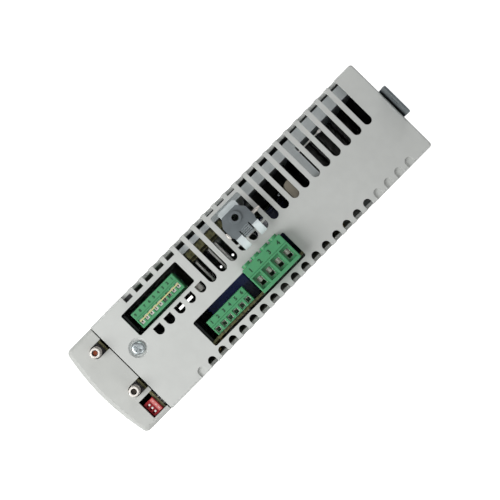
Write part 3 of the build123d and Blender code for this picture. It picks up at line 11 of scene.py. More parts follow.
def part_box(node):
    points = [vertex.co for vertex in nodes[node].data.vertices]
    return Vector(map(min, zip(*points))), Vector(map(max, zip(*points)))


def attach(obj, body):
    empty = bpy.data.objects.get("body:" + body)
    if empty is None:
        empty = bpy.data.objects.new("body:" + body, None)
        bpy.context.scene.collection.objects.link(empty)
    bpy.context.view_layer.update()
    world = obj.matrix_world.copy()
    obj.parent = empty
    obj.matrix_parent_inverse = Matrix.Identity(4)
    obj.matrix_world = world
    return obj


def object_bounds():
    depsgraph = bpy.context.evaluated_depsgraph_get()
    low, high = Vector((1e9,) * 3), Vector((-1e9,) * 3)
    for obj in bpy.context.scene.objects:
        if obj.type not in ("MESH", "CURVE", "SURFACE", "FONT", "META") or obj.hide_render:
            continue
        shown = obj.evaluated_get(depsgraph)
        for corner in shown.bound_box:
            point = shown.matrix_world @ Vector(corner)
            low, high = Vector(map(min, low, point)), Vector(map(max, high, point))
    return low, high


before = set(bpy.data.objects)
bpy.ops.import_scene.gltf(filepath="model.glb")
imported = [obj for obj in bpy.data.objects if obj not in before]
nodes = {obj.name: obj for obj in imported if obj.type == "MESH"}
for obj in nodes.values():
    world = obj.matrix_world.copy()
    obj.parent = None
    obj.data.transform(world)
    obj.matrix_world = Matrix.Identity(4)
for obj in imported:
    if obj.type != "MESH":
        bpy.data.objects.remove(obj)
cad_low, cad_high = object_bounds()

MM = 0.001
scene = bpy.context.scene

# The terminal end is up (+Z), the cover faces -Y and the slotted side faces -X.
END_FACE_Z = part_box("main_housing")[1].z
SLOT_SIDE_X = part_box("main_housing")[0].x
COVER_FRONT_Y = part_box("front_cover")[0].y
PARTITION_BACK_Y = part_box("chassis_partition")[1].y + 0.2 * MM

# Just more than the wall of the cover and the housing, and the crown of the cover across its width.
SHELL_WALL = 2.2 * MM
COVER_CROWN = 3.8 * MM
COVER_HALF_WIDTH = 34.65 * MM

# Where painted shade or a painted highlight begins on a piece, from the faces above.
PLATE_REACH = 8.2 * MM
LEG_START = 26.1 * MM
FLANGE_RISE = 3.2 * MM
PLUGS_START = 40.0 * MM
# Near-black painted shade for the inside of the housing and cover and for the heat sink's fins.
PAINTED_SHADE_BLACK = (0.018, 0.018, 0.02)


# ---- procedural materials ----
class Recipe:
    """One material: a principled shader and the nodes that feed it."""

    def __init__(self, name):
        self.material = bpy.data.materials.new(name)
        self.material.use_nodes = True
        self.tree = self.material.node_tree
        self.tree.nodes.clear()
        self.shader = self.add("ShaderNodeBsdfPrincipled")
        output = self.add("ShaderNodeOutputMaterial")
        self.link(self.shader.outputs[0], output.inputs[0])
        self.place = self.add("ShaderNodeTexCoord").outputs["Object"]

    def add(self, kind, **settings):
        node = self.tree.nodes.new(kind)
        for key, value in settings.items():
            setattr(node, key, value)
        return node

    def link(self, source, target):
        self.tree.links.new(source, target)

    def feed(self, value, socket):
        """A number, colour or output goes into a socket."""
        if isinstance(value, bpy.types.NodeSocket):
            self.link(value, socket)
        elif hasattr(value, "__len__") and len(value) == 3 and len(socket.default_value) == 4:
            socket.default_value = (*value, 1.0)
        else:
            socket.default_value = value

    def axis(self, index):
        """One coordinate of the place, in metres."""
        split = self.add("ShaderNodeSeparateXYZ")
        self.link(self.place, split.inputs[0])
        return split.outputs[index]

    def stretched(self, scale):
        """The place, scaled differently along each axis."""
        mapping = self.add("ShaderNodeMapping")
        mapping.inputs["Scale"].default_value = scale
        self.link(self.place, mapping.inputs["Vector"])
        return mapping.outputs[0]

    def noise(self, size, detail=3.0, roughness=0.5, place=None, distortion=0.0):
        """Smooth noise whose features are about size metres across."""
        node = self.add("ShaderNodeTexNoise")
        self.link(place or self.place, node.inputs["Vector"])
        node.inputs["Scale"].default_value = 1.0 / size
        node.inputs["Detail"].default_value = detail
        node.inputs["Roughness"].default_value = roughness
        node.inputs["Distortion"].default_value = distortion
        return node.outputs[0]

    def cells(self, size, output="Distance", feature="F1"):
        """Cell noise, as in the spangle of a plated sheet."""
        node = self.add("ShaderNodeTexVoronoi", feature=feature)
        self.link(self.place, node.inputs["Vector"])
        node.inputs["Scale"].default_value = 1.0 / size
        return node.outputs[output]

    def spread(self, value, low, high, to_low=0.0, to_high=1.0):
        """Maps a value from one range to another and clamps it."""
        node = self.add("ShaderNodeMapRange")
        self.link(value, node.inputs["Value"])
        sockets = ("From Min", "From Max", "To Min", "To Max")
        for socket, number in zip(sockets, (low, high, to_low, to_high)):
            node.inputs[socket].default_value = number
        return node.outputs[0]

    def combine(self, operation, first, second=0.0):
        """Arithmetic on two values, or on one."""
        node = self.add("ShaderNodeMath", operation=operation)
        self.feed(first, node.inputs[0])
        self.feed(second, node.inputs[1])
        return node.outputs[0]

    def blend(self, amount, first, second, mode="MIX"):
        """Mixes two colours."""
        node = self.add("ShaderNodeMix", data_type="RGBA", blend_type=mode)
        self.feed(amount, node.inputs[0])
        self.feed(first, node.inputs[6])
        self.feed(second, node.inputs[7])
        return node.outputs[2]

    def edges(self, radius):
        """How near a sharp edge a point is, and a normal that rounds the edges."""
        soft = self.add("ShaderNodeBevel", samples=4)
        soft.inputs["Radius"].default_value = radius
        flat = self.add("ShaderNodeNewGeometry")
        dot = self.add("ShaderNodeVectorMath", operation="DOT_PRODUCT")
        self.link(soft.outputs[0], dot.inputs[0])
        self.link(flat.outputs["Normal"], dot.inputs[1])
        return self.spread(dot.outputs["Value"], 0.995, 0.8), soft.outputs[0]

    def bump(self, height, distance, normal=None):
        """The surface normal, disturbed by a height of at most distance metres."""
        node = self.add("ShaderNodeBump")
        node.inputs["Distance"].default_value = distance
        self.feed(height, node.inputs["Height"])
        if normal is not None:
            self.link(normal, node.inputs["Normal"])
        return node.outputs[0]

    def finish(self, colour, roughness, normal, **constants):
        """Joins everything to the shader; the constants are set on its own sockets."""
        self.feed(colour, self.shader.inputs["Base Color"])
        self.feed(roughness, self.shader.inputs["Roughness"])
        self.link(normal, self.shader.inputs["Normal"])
        for socket, value in constants.items():
            self.feed(value, self.shader.inputs[socket.replace("_", " ")])
        return self.material


def inside_shell(r):
    """1 on the surfaces inside the housing, which are painted near-black as shade, and 0 outside."""
    x, y, z = r.axis(0), r.axis(1), r.axis(2)
    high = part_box("main_housing")[1]
    width = r.combine("LESS_THAN", r.combine("ABSOLUTE", x), high.x - SHELL_WALL - 0.1 * MM)
    height = r.combine("LESS_THAN", r.combine("ABSOLUTE", z), high.z - SHELL_WALL - 0.1 * MM)
    sag = r.combine("MULTIPLY", r.combine("MULTIPLY", x, x), COVER_CROWN / COVER_HALF_WIDTH ** 2)
    depth = r.combine("SUBTRACT", y, COVER_FRONT_Y + SHELL_WALL - 0.3 * MM)
    behind = r.combine("GREATER_THAN", r.combine("SUBTRACT", depth, sag), 0.0)
    return r.combine("MULTIPLY", r.combine("MULTIPLY", width, height), behind)


def beyond_fin_root(r):
    """1 on the fins of the heat sink, which are painted near-black as shade, and 0 on its plate."""
    past_plate = r.combine("GREATER_THAN", r.axis(0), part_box("heat_sink")[0].x + PLATE_REACH)
    in_duct = r.combine("GREATER_THAN", r.axis(1), PARTITION_BACK_Y)
    return r.combine("MULTIPLY", past_plate, in_duct)


def clamp_straps(r):
    """1 on the legs and the lower flange of the shield bracket, which are painted light as a highlight, and 0
    on its top plate.
    """
    low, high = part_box("shield_bracket")
    legs = r.combine("GREATER_THAN", r.axis(0), SLOT_SIDE_X + LEG_START)
    flange = r.combine("LESS_THAN", r.axis(2), END_FACE_Z + FLANGE_RISE)
    before_back = r.combine("LESS_THAN", r.axis(1), high.y + MM)
    above_foot = r.combine("GREATER_THAN", r.axis(2), low.z - MM)
    near = r.combine("MULTIPLY", before_back, above_foot)
    return r.combine("MULTIPLY", r.combine("MAXIMUM", legs, flange), near)


def inside_plugs(r):
    """1 on the screws inside the plugs, which are painted dark as shade deep in their wells, and 0 on the
    fibre barrels and the clamp's pin.
    """
    deep = r.combine("GREATER_THAN", r.axis(1), COVER_FRONT_Y + PLUGS_START)
    below_pin = r.combine("LESS_THAN", r.axis(2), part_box("clamp_pin")[0].z - 0.1 * MM)
    return r.combine("MULTIPLY", deep, below_pin)


def tinted(colour, factor):
    """A colour made darker or lighter."""
    return tuple(min(1.0, max(0.0, channel * factor)) for channel in colour)


def plastic(name, colour, rough=0.5, grain=0.0004, mottle=0.05, wear=0.25, inside_painted_dark=False, **constants):
    """Moulded plastic: fine grain, slow mottling, faint handling marks and paler rubbed edges; its inside
    faces may be painted near-black as shade.
    """
    r = Recipe(name)
    slow = r.spread(r.noise(0.05, 4.0), 0.3, 0.7)
    near = r.spread(r.noise(0.006, 3.0), 0.35, 0.65)
    base = r.blend(slow, tinted(colour, 1 - mottle), tinted(colour, 1 + mottle))
    base = r.blend(r.combine("MULTIPLY", near, 0.35), base, tinted(colour, 1 - 1.6 * mottle))
    edge, rounded = r.edges(0.00035)
    rubbed = r.combine("MULTIPLY", edge, r.spread(r.noise(0.003, 4.0), 0.35, 0.62, 0.1, wear))
    base = r.blend(rubbed, base, tinted(colour, 1.5))
    # Painted shade: the faces inside the housing and cover are coloured near-black.
    if inside_painted_dark:
        base = r.blend(inside_shell(r), base, PAINTED_SHADE_BLACK)
    scuff = r.noise(0.002, 5.0, 0.65, r.stretched((1.0, 1.0, 0.12)))
    rough_out = r.spread(scuff, 0.35, 0.75, rough - 0.07, rough + 0.09)
    normal = r.bump(r.noise(grain, 2.0), 0.00003, rounded)
    return r.finish(base, rough_out, normal, **constants)


def metal(name, colour, rough=0.3, streak=(1.0, 1.0, 0.05), spangle=0.0, tarnish=0.1, sheen=1.0,
          area=None, shade_or_highlight_colour=(1.0, 1.0, 1.0)):
    """Plated or bare metal: drawing streaks, patches of tarnish, plating spangle and bright worn edges.
    One area of it may be painted another colour, as painted shade or a painted highlight."""
    r = Recipe(name)
    lines = r.noise(0.0006, 3.0, 0.6, r.stretched(streak))
    patch = r.spread(r.noise(0.012, 4.0, 0.6), 0.35, 0.7)
    base = r.blend(patch, colour, tinted(colour, 1 - 2 * tarnish))
    base = r.blend(r.spread(lines, 0.3, 0.7, 0.0, 0.25), base, tinted(colour, 0.75))
    if spangle:
        cell = r.add("ShaderNodeSeparateColor")
        r.link(r.cells(0.0045, "Color"), cell.inputs[0])
        base = r.blend(r.combine("MULTIPLY", cell.outputs[0], spangle), base, tinted(colour, 0.72))
    edge, rounded = r.edges(0.00025)
    base = r.blend(r.combine("MULTIPLY", edge, 0.45), base, tinted(colour, 1.3))
    # Painted shade or highlight: the area's colour stands in for light or shade.
    if area:
        base = r.blend(area(r), base, shade_or_highlight_colour)
    rough_out = r.spread(r.noise(0.004, 4.0), 0.3, 0.7, rough - 0.06, rough + 0.12)
    normal = r.bump(lines, 0.00002, rounded)
    return r.finish(base, rough_out, normal, Metallic=sheen)


def laminate(name, mask, copper):
    """A circuit board: solder mask over etched tracks, plated holes and a pale glass-fibre edge."""
    r = Recipe(name)
    tracks = r.add("ShaderNodeTexBrick", offset=0.37, squash=0.6, squash_frequency=3)
    r.link(r.place, tracks.inputs["Vector"])
    tracks.inputs["Scale"].default_value = 90.0
    tracks.inputs["Mortar Size"].default_value = 0.06
    tracks.inputs["Color1"].default_value = (*mask, 1)
    tracks.inputs["Color2"].default_value = (*tinted(mask, 0.72), 1)
    tracks.inputs["Mortar"].default_value = (*copper, 1)
    holes = r.spread(r.cells(0.0042), 0.14, 0.1)
    base = r.blend(holes, tracks.outputs["Color"], (0.55, 0.5, 0.36))
    base = r.blend(r.spread(r.noise(0.02), 0.3, 0.7, 0.0, 0.4), base, tinted(mask, 0.6))
    edge, rounded = r.edges(0.0002)
    base = r.blend(r.combine("MULTIPLY", edge, 0.7), base, (0.5, 0.47, 0.3))
    rough_out = r.spread(r.noise(0.003), 0.3, 0.7, 0.28, 0.5)
    return r.finish(base, rough_out, r.bump(tracks.outputs["Fac"], 0.00003, rounded))


def lens(name, colour, rough, **constants):
    """Polished clear or tinted plastic with faint swirl marks."""
    r = Recipe(name)
    base = r.blend(r.spread(r.noise(0.01), 0.3, 0.7), colour, tinted(colour, 1.25))
    edge, rounded = r.edges(0.0002)
    base = r.blend(r.combine("MULTIPLY", edge, 0.3), base, tinted(colour, 2.0))
    rough_out = r.spread(r.noise(0.0015, 5.0), 0.4, 0.8, rough, rough + 0.12)
    return r.finish(base, rough_out, r.bump(r.noise(0.002), 0.000004, rounded), **constants)


def ferrite_core(name):
    """Ground ferrite, with the bands of tape and lacquer round its winding."""
    r = Recipe(name)
    bands = r.add("ShaderNodeTexWave", bands_direction="Z")
    r.link(r.place, bands.inputs["Vector"])
    bands.inputs["Scale"].default_value = 120.0
    bands.inputs["Distortion"].default_value = 0.6
    base = r.blend(bands.outputs["Fac"], (0.06, 0.06, 0.065), (0.14, 0.1, 0.035))
    base = r.blend(r.spread(r.noise(0.004), 0.4, 0.7, 0.0, 0.6), base, (0.03, 0.03, 0.03))
    edge, rounded = r.edges(0.0003)
    base = r.blend(r.combine("MULTIPLY", edge, 0.5), base, (0.22, 0.22, 0.22))
    rough_out = r.spread(r.noise(0.002), 0.3, 0.7, 0.35, 0.6)
    return r.finish(base, rough_out, r.bump(bands.outputs["Fac"], 0.00006, rounded))


FILM_MARGIN = 2.2 * MM
FILM_ROW = 12.8 * MM
FILM_LINE = 0.22 * MM


def printed_film(name, colour, ink):
    """A blank nameplate film: satin, with a printed border and ruled fields and no words."""
    r = Recipe(name)
    low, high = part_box("label_plate")
    across = r.combine("SUBTRACT", r.axis(0), (low.x + high.x) / 2)
    up = r.combine("SUBTRACT", r.axis(2), (low.z + high.z) / 2)
    past_side = r.combine("SUBTRACT", r.combine("ABSOLUTE", across), (high.x - low.x) / 2)
    past_end = r.combine("SUBTRACT", r.combine("ABSOLUTE", up), (high.z - low.z) / 2)
    past_edge = r.combine("MAXIMUM", past_side, past_end)
    from_border = r.combine("ABSOLUTE", r.combine("ADD", past_edge, FILM_MARGIN))
    border = r.combine("LESS_THAN", from_border, FILM_LINE)
    part_of_row = r.combine("FRACT", r.combine("DIVIDE", up, FILM_ROW))
    from_rule = r.combine("ABSOLUTE", r.combine("SUBTRACT", part_of_row, 0.5))
    on_rule = r.combine("LESS_THAN", from_rule, 0.013)
    ruled = r.combine("MULTIPLY", on_rule, r.combine("LESS_THAN", past_edge, -FILM_MARGIN))
    ink_here = r.combine("MAXIMUM", border, ruled)
    base = r.blend(r.spread(r.noise(0.015), 0.3, 0.7), colour, tinted(colour, 0.93))
    base = r.blend(r.combine("MULTIPLY", ink_here, 0.75), base, ink)
    edge, rounded = r.edges(0.0002)
    base = r.blend(r.combine("MULTIPLY", edge, 0.4), base, tinted(colour, 0.7))
    rough_out = r.spread(r.noise(0.004), 0.3, 0.7, 0.3, 0.42)
    return r.finish(base, rough_out, r.bump(r.noise(0.0008), 0.00001, rounded))


MATERIALS = {
    "housing_plastic": plastic("housing_plastic", (0.60, 0.615, 0.595), 0.52, inside_painted_dark=True),
    "cover_plastic": plastic("cover_plastic", (0.51, 0.522, 0.5), 0.5, inside_painted_dark=True),
    "smoked_lens": lens("smoked_lens", (0.16, 0.03, 0.03), 0.04, Coat_Weight=0.4,
                        Transmission_Weight=0.75, IOR=1.49),
    "black_plastic": plastic("black_plastic", (0.02, 0.02, 0.021), 0.48, wear=0.4),
    "clear_plastic": lens("clear_plastic", (0.62, 0.72, 0.58), 0.08, Transmission_Weight=0.55, IOR=1.49),
    "plated_steel": metal("plated_steel", (0.62, 0.62, 0.6), 0.28),
    "label_film": printed_film("label_film", (0.74, 0.75, 0.74), (0.12, 0.13, 0.14)),
    "grey_plastic": plastic("grey_plastic", (0.105, 0.1, 0.104), 0.5, wear=0.35),
    # Painted shade: the screws deep inside the plugs are coloured dark.
    "nickel": metal("nickel", (0.95, 0.9, 0.84), 0.3, tarnish=0.06, sheen=0.4,
                    area=inside_plugs, shade_or_highlight_colour=(0.3, 0.25, 0.22)),
    "copper_lens": lens("copper_lens", (0.2, 0.045, 0.018), 0.12, Coat_Weight=0.3),
    "dark_lens": lens("dark_lens", (0.035, 0.028, 0.022), 0.1, Coat_Weight=0.5),
    "red_plastic": plastic("red_plastic", (0.31, 0.012, 0.018), 0.38, wear=0.5, Specular_IOR_Level=0.25),
    "tinned_metal": metal("tinned_metal", (0.85, 0.84, 0.8), 0.28, tarnish=0.12, sheen=0.5),
    "terminal_green": plastic("terminal_green", (0.075, 0.33, 0.145), 0.42, mottle=0.07, wear=0.55,
                              Subsurface_Weight=0.08, Subsurface_Scale=0.0008),
    "marker_yellow": plastic("marker_yellow", (0.62, 0.6, 0.26), 0.5, wear=0.3),
    # Painted reflection and highlight: this steel is darkened as if it reflected dark surroundings, and the
    # shield bracket's legs and lower flange are painted light.
    "zinc_steel": metal("zinc_steel", (0.22, 0.25, 0.265), 0.45, spangle=0.5, tarnish=0.12, sheen=0.6,
                        area=clamp_straps, shade_or_highlight_colour=(0.75, 0.82, 0.83)),
    "spring_steel": metal("spring_steel", (0.4, 0.44, 0.46), 0.32, tarnish=0.12),
    # Painted shade: the fins deep in the duct are coloured near-black.
    "aluminium": metal("aluminium", (0.78, 0.83, 0.84), 0.4, streak=(1.0, 0.06, 1.0), tarnish=0.06, sheen=0.5,
                       area=beyond_fin_root, shade_or_highlight_colour=PAINTED_SHADE_BLACK),
    "zinc_screw": metal("zinc_screw", (0.62, 0.68, 0.7), 0.26, tarnish=0.08),
    "board_olive": laminate("board_olive", (0.13, 0.125, 0.045), (0.24, 0.22, 0.09)),
    "brass": metal("brass", (0.7, 0.52, 0.24), 0.24),
    "capacitor_sleeve": plastic("capacitor_sleeve", (0.016, 0.02, 0.05), 0.22, wear=0.2, Coat_Weight=0.3),
    "navy_plastic": plastic("navy_plastic", (0.012, 0.03, 0.16), 0.3, wear=0.3, Coat_Weight=0.2),
    "tan_resin": plastic("tan_resin", (0.42, 0.375, 0.3), 0.45, wear=0.2),
    "ferrite": ferrite_core("ferrite"),
    "white_plastic": plastic("white_plastic", (0.84, 0.8, 0.77), 0.35, wear=0.1),
}

# Finishes of the small pieces that the CAD doesn't have.
PRINT_GREEN = plastic("print_green", (0.006, 0.045, 0.018), 0.6, wear=0.1)
SEGMENT_RED = plastic("segment_red", (0.2, 0.015, 0.012), 0.4, wear=0.1)
# Painted highlight: this paler red stands in for light on the address switch's top face.
DIP_HIGHLIGHT_RED = plastic("dip_highlight_red", (0.62, 0.16, 0.15), 0.4, wear=0.2)
CHIP_BLACK = plastic("chip_black", (0.018, 0.018, 0.02), 0.5, grain=0.0002, wear=0.35)

# Each node's slots are named after its materials.
for node_object in nodes.values():
    for slot_in_mesh in node_object.material_slots:
        slot_in_mesh.material = MATERIALS[slot_in_mesh.material.name.split(".")[0]]


# ---- small pieces that the CAD doesn't have ----
def finished_piece(name, mesh, material, body):
    """A mesh becomes a named piece that rides on a body."""
    piece = bpy.data.objects.new(name, mesh)
    scene.collection.objects.link(piece)
    mesh.materials.clear()
    mesh.materials.append(material)
    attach(piece, body)
    return piece


def boxes_mesh(name, boxes, bevel):
    """Several boxes with softened edges, each (low corner, high corner) in millimetres, as one mesh."""
    joined = bmesh.new()
    for low, high in boxes:
        size = [(b - a) * MM for a, b in zip(low, high)]
        middle = [(a + b) / 2 * MM for a, b in zip(low, high)]
        place = Matrix.Translation(middle) @ Matrix.Diagonal((*size, 1.0))
        bmesh.ops.create_cube(joined, size=1.0, matrix=place)
    bmesh.ops.bevel(joined, geom=joined.edges[:], offset=bevel * MM, segments=2, affect="EDGES",
                    clamp_overlap=True)
    mesh = bpy.data.meshes.new(name)
    joined.to_mesh(mesh)
    joined.free()
    for face in mesh.polygons:
        face.use_smooth = False
    return mesh


def node_box_mm(node):
    """A node's low and high corners in millimetres."""
    low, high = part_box(node)
    return low / MM, high / MM


def digits_mesh(name, words, turn, size, thick):
    """Thin raised figures, one for each (text, centre) pair, as one mesh."""
    joined = bmesh.new()
    for text, centre in words:
        curve = bpy.data.curves.new(name, "FONT")
        curve.body = text
        curve.size = size
        curve.extrude = thick / 2
        curve.offset = size * STROKE_GROWTH
        curve.resolution_u = 4
        curve.align_x = "CENTER"
        curve.align_y = "CENTER"
        maker = bpy.data.objects.new(name, curve)
        scene.collection.objects.link(maker)
        bpy.context.view_layer.update()
        evaluated = maker.evaluated_get(bpy.context.evaluated_depsgraph_get())
        mesh = bpy.data.meshes.new_from_object(evaluated)
        mesh.transform(Matrix.Translation(centre) @ turn)
        joined.from_mesh(mesh)
        bpy.data.objects.remove(maker)
        bpy.data.curves.remove(curve)
        bpy.data.meshes.remove(mesh)
    mesh = bpy.data.meshes.new(name)
    bmesh.ops.remove_doubles(joined, verts=joined.verts, dist=1e-7)
    joined.to_mesh(mesh)
    joined.free()
    return mesh


# Figures on the end face read along +Y with their tops to -X.
READ_ALONG_DEPTH = Matrix(((0, -1, 0), (1, 0, 0), (0, 0, 1))).to_4x4()
STROKE_GROWTH = 0.035
BAND_RISE = 0.05 * MM
PLUG_SIDE_GAP = 0.2 * MM

# Plug, its figures, their distance from the slotted side and their height, both in millimetres.
PLUG_BANDS = (
    ("control", "987654321", 14.4, 2.6),
    ("brake", "123456", 50.4, 3.3),
    ("motor", "1234", 45.0, 4.0),
)
for plug, figures, across_mm, height_mm in PLUG_BANDS:
    low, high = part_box(plug + "_plug")
    pitch = (high.y - low.y - 2 * PLUG_SIDE_GAP) / len(figures)
    words = []
    for index, figure in enumerate(figures):
        y = low.y + PLUG_SIDE_GAP + pitch * (index + 0.5)
        words.append((figure, Vector((SLOT_SIDE_X + across_mm * MM, y, high.z + BAND_RISE))))
    mesh = digits_mesh(plug + "_figures", words, READ_ALONG_DEPTH, height_mm * MM, 2 * BAND_RISE)
    finished_piece(plug + "_figures", mesh, PRINT_GREEN, plug + "_plug")


# Width, height and thickness of the packages on the control board, and how many there are.
CHIP_SIZES = ((2.0, 1.25, 0.6), (3.2, 1.6, 0.7), (5.0, 6.2, 1.7), (1.6, 0.8, 0.5))
CHIP_COUNT = 46
CHIP_TOP_Z = -48.0
DRIVER_CHIP = (1.1, 4.9, 3.9)
SOLDER_GAP = 0.02


def board_chips():
    """Flat chip packages scattered over the boards' component faces, clear of the larger parts."""
    draw = random.Random(7)
    boxes = []
    low, high = node_box_mm("control_board")
    for _ in range(CHIP_COUNT):
        x = draw.uniform(low.x + 4, high.x - 10)
        z = draw.uniform(low.z + 5, CHIP_TOP_Z)
        width, height, tall = draw.choice(CHIP_SIZES)
        boxes.append(((x, high.y + SOLDER_GAP, z), (x + width, high.y + tall, z + height)))
    low, high = node_box_mm("io_board")
    tall, width, height = DRIVER_CHIP
    for row in range(7):
        for column in range(4):
            y = low.y + 5 + column * 8.5
            z = high.z - 30 - row * 10.5
            boxes.append(((low.x - tall, y, z), (low.x - SOLDER_GAP, y + width, z + height)))
    return boxes


finished_piece("board_chips", boxes_mesh("board_chips", board_chips(), 0.12),
               CHIP_BLACK, "drive")

# The partition's box includes its flange, so the front and the thickness of its wall are given here.
PARTITION_WALL_FRONT = -64.5
PARTITION_WALL = 1.5


def partition_lining():
    """A thin black insulating film on the electronics side of the partition."""
    low, high = node_box_mm("chassis_partition")
    front, back = PARTITION_WALL_FRONT - 0.5, PARTITION_WALL_FRONT - 0.1
    return [((low.x + 8.0, front, low.z + 3.0), (high.x - 0.5, back, high.z - 4.0))]


finished_piece("partition_lining", boxes_mesh("partition_lining", partition_lining(), 0.1),
               MATERIALS["black_plastic"], "drive")


def seam_gasket():
    """The dark foam strip that closes the seam between the cover and the housing at the far end."""
    low, high = node_box_mm("main_housing")
    front, back = low.y - 0.62, low.y - 0.06
    return [((low.x + 1.0, front, low.z + 0.4), (high.x - 1.0, back, low.z + 2.0))]


finished_piece("seam_gasket", boxes_mesh("seam_gasket", seam_gasket(), 0.1),
               MATERIALS["black_plastic"], "drive")


CONNECTOR_LENGTH = 14.0
CONNECTOR_SLOT = 0.8


def io_connector():
    """A pale connector near the rear edge of the control plug's board, with a slot down its middle."""
    high = node_box_mm("io_board")[1]
    near, far = high.x + 0.05, high.x + 5.2
    front, back = high.y - 6.4, high.y - 0.4
    top = high.z - 3.0
    bottom = top - CONNECTOR_LENGTH
    middle = (front + back) / 2
    return [((near, front, bottom), (far, middle - CONNECTOR_SLOT / 2, top)),
            ((near, middle + CONNECTOR_SLOT / 2, bottom), (far, back, top)),
            ((near, front + 0.2, bottom - 0.2), (far - 0.2, back - 0.2, top - 2.0))]


finished_piece("io_connector", boxes_mesh("io_connector", io_connector(), 0.25),
               MATERIALS["white_plastic"], "drive")


FIGURE_CENTRES = (-5.2, 5.2)
FIGURE_SIZE = (5.6, 10.6)
SEGMENT_BAR = 1.0
SEGMENT_TRIM = 0.6


def display_segments():
    """Two unlit seven-segment figures, each with its point, on the display package."""
    low, high = node_box_mm("display_module")
    front, back = low.y - 0.08, low.y - 0.01
    middle_z = (low.z + high.z) / 2
    wide, tall = FIGURE_SIZE
    bar, trim = SEGMENT_BAR, SEGMENT_TRIM
    boxes = []
    for centre in FIGURE_CENTRES:
        left, right = centre - wide / 2, centre + wide / 2
        for level in (-0.5, 0.0, 0.5):
            z = middle_z + level * (tall - bar)
            boxes.append(((left + trim, front, z - bar / 2), (right - trim, back, z + bar / 2)))
        for side in (left - 0.4, right - trim):
            for level in (-0.5, 0.5):
                z = middle_z + level * (tall - bar) / 2
                half = tall / 4 - trim
                boxes.append(((side, front, z - half), (side + bar, back, z + half)))
        foot = middle_z - tall / 2
        boxes.append(((right + 1.2, front, foot), (right + 2.2, back, foot + bar)))
    return boxes


finished_piece("display_segments", boxes_mesh("display_segments", display_segments(), 0.01),
               SEGMENT_RED, "drive")


STRIP_RISE = 0.12


def dip_strip():
    """A paler red strip beside the address switch's levers, painted as the highlight on its top face, under
    the printed figures.
    """
    low, high = node_box_mm("dip_switch_body")
    return [((low.x + 0.35, high.y - 3.0, high.z - 0.05),
             (high.x - 0.35, high.y - 0.55, high.z + STRIP_RISE))]


def dip_figures():
    """A white figure on the strip beside each lever."""
    high_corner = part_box("dip_switch_body")[1]
    y = high_corner.y - 1.75 * MM
    z = high_corner.z + (STRIP_RISE + 0.02) * MM
    words = []
    for number in (1, 2, 3):
        low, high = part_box(f"dip_lever_{number}")
        words.append((str(number), Vector(((low.x + high.x) / 2, y, z))))
    return digits_mesh("dip_figures", words, READ_ALONG_DEPTH, 1.5 * MM, 0.08 * MM)


finished_piece("dip_strip", boxes_mesh("dip_strip", dip_strip(), 0.1), DIP_HIGHLIGHT_RED, "drive")
finished_piece("dip_figures", dip_figures(), MATERIALS["white_plastic"], "drive")


# Rings of the lead and of the bead at its end: distance from the wall, radius and height.
LEAD_RINGS = (
    (0.0, 0.42, 0.0),
    (5.0, 0.42, -0.25),
    (11.0, 0.42, -0.2),
    (16.2, 0.42, 0.0),
    (16.8, 0.85, 0.0),
    (17.8, 1.05, 0.0),
    (18.8, 0.8, 0.0),
    (19.3, 0.1, 0.0),
)
LEAD_ACROSS = 15.0
LEAD_DEPTH = 5.0
LEAD_SIDES = 10


def sensor_lead():
    """A short white lead that comes out of the partition and ends in a bead, across the fin duct."""
    wall_back = PARTITION_WALL_FRONT + PARTITION_WALL
    x = SLOT_SIDE_X / MM + LEAD_ACROSS
    z = END_FACE_Z / MM - LEAD_DEPTH
    joined = bmesh.new()
    rings = []
    for along, radius, rise in LEAD_RINGS:
        ring = []
        for step in range(LEAD_SIDES):
            angle = math.tau * step / LEAD_SIDES
            side, up = radius * math.cos(angle), radius * math.sin(angle)
            ring.append(joined.verts.new(Vector((x + side, wall_back + along, z + rise + up)) * MM))
        rings.append(ring)
    for near, far in zip(rings, rings[1:]):
        for step in range(LEAD_SIDES):
            joined.faces.new((near[step], near[step - 1], far[step - 1], far[step]))
    joined.faces.new(rings[0])
    joined.faces.new(reversed(rings[-1]))
    bmesh.ops.recalc_face_normals(joined, faces=joined.faces)
    mesh = bpy.data.meshes.new("sensor_lead")
    joined.to_mesh(mesh)
    joined.free()
    return mesh


finished_piece("sensor_lead", sensor_lead(), MATERIALS["white_plastic"], "drive")


# ---- floor, lights and camera ----
FLOOR_HALF = 6.0


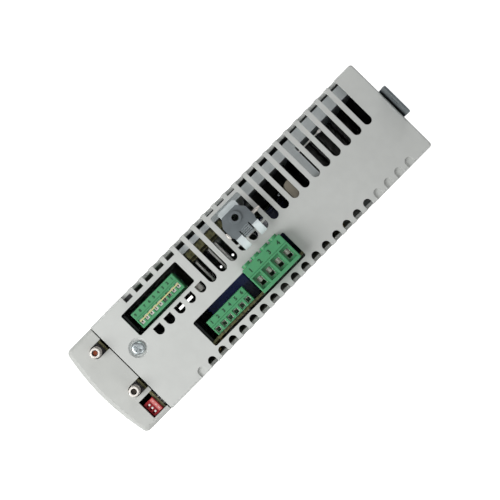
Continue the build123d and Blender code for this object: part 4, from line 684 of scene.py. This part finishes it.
def floor():
    """A large white ground under the drive, which glows a little so that the picture's ground is white."""
    mesh = bpy.data.meshes.new("floor")
    half = FLOOR_HALF
    corners = ((-half, -half), (half, -half), (half, half), (-half, half))
    mesh.from_pydata([(x, y, cad_low.z) for x, y in corners], [], [(0, 1, 2, 3)])
    ground = bpy.data.objects.new("floor", mesh)
    scene.collection.objects.link(ground)
    r = Recipe("floor")
    base = r.blend(r.spread(r.noise(0.4), 0.3, 0.7), (0.9, 0.9, 0.9), (0.92, 0.92, 0.92))
    normal = r.bump(r.noise(0.02), 0.0001)
    rough_out = r.spread(r.noise(0.1), 0.3, 0.7, 0.8, 0.9)
    mesh.materials.append(r.finish(base, rough_out, normal, Emission_Color=(1.0, 1.0, 1.0),
                                   Emission_Strength=0.8))


def area_light(name, place, aim, size, power):
    """A white disk light at one point that faces another."""
    data = bpy.data.lights.new(name, "AREA")
    data.shape = "DISK"
    data.size = size
    data.energy = power
    light = bpy.data.objects.new(name, data)
    light.location = place
    light.rotation_euler = (Vector(aim) - Vector(place)).to_track_quat("-Z", "Y").to_euler()
    scene.collection.objects.link(light)


def studio():
    """A dim white surround and four soft lights."""
    world = bpy.data.worlds.new("studio")
    scene.world = world
    world.use_nodes = True
    background = world.node_tree.nodes["Background"]
    background.inputs["Color"].default_value = (1.0, 1.0, 1.0, 1.0)
    background.inputs["Strength"].default_value = 0.19
    target = (0.0, -0.13, 0.1)
    area_light("key", (-0.1, -0.55, 0.55), target, 0.45, 2.68)
    area_light("top", (0.5, -0.2, 1.3), target, 0.8, 1.5)
    area_light("rear", (-0.6, 0.6, 0.9), target, 0.7, 2.0)
    area_light("side", (1.2, -0.25, 0.75), target, 0.7, 2.5)


# The camera looks straight down on the end face from close by, so the far end looks smaller.
CAMERA_HEIGHT = 0.95
CAMERA_ROLL = math.radians(44.6)
CAMERA_OFFSET = Vector((0.97 * MM, 1.7 * MM, CAMERA_HEIGHT))
PICTURE_WIDTH = 0.3039
SENSOR = 36.0


def camera():
    """The picture's camera, rolled so that the drive lies across the picture from corner to corner."""
    data = bpy.data.cameras.new("camera")
    data.sensor_width = SENSOR
    data.lens = SENSOR * CAMERA_HEIGHT / PICTURE_WIDTH
    eye = bpy.data.objects.new("camera", data)
    low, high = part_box("main_housing")
    middle = Vector(((low.x + high.x) / 2, (COVER_FRONT_Y + high.y) / 2, END_FACE_Z))
    eye.location = middle + CAMERA_OFFSET
    eye.rotation_euler = (0, 0, CAMERA_ROLL)
    scene.collection.objects.link(eye)
    scene.camera = eye


floor()
studio()
camera()
scene.view_settings.view_transform = "Standard"
scene.view_settings.look = "None"
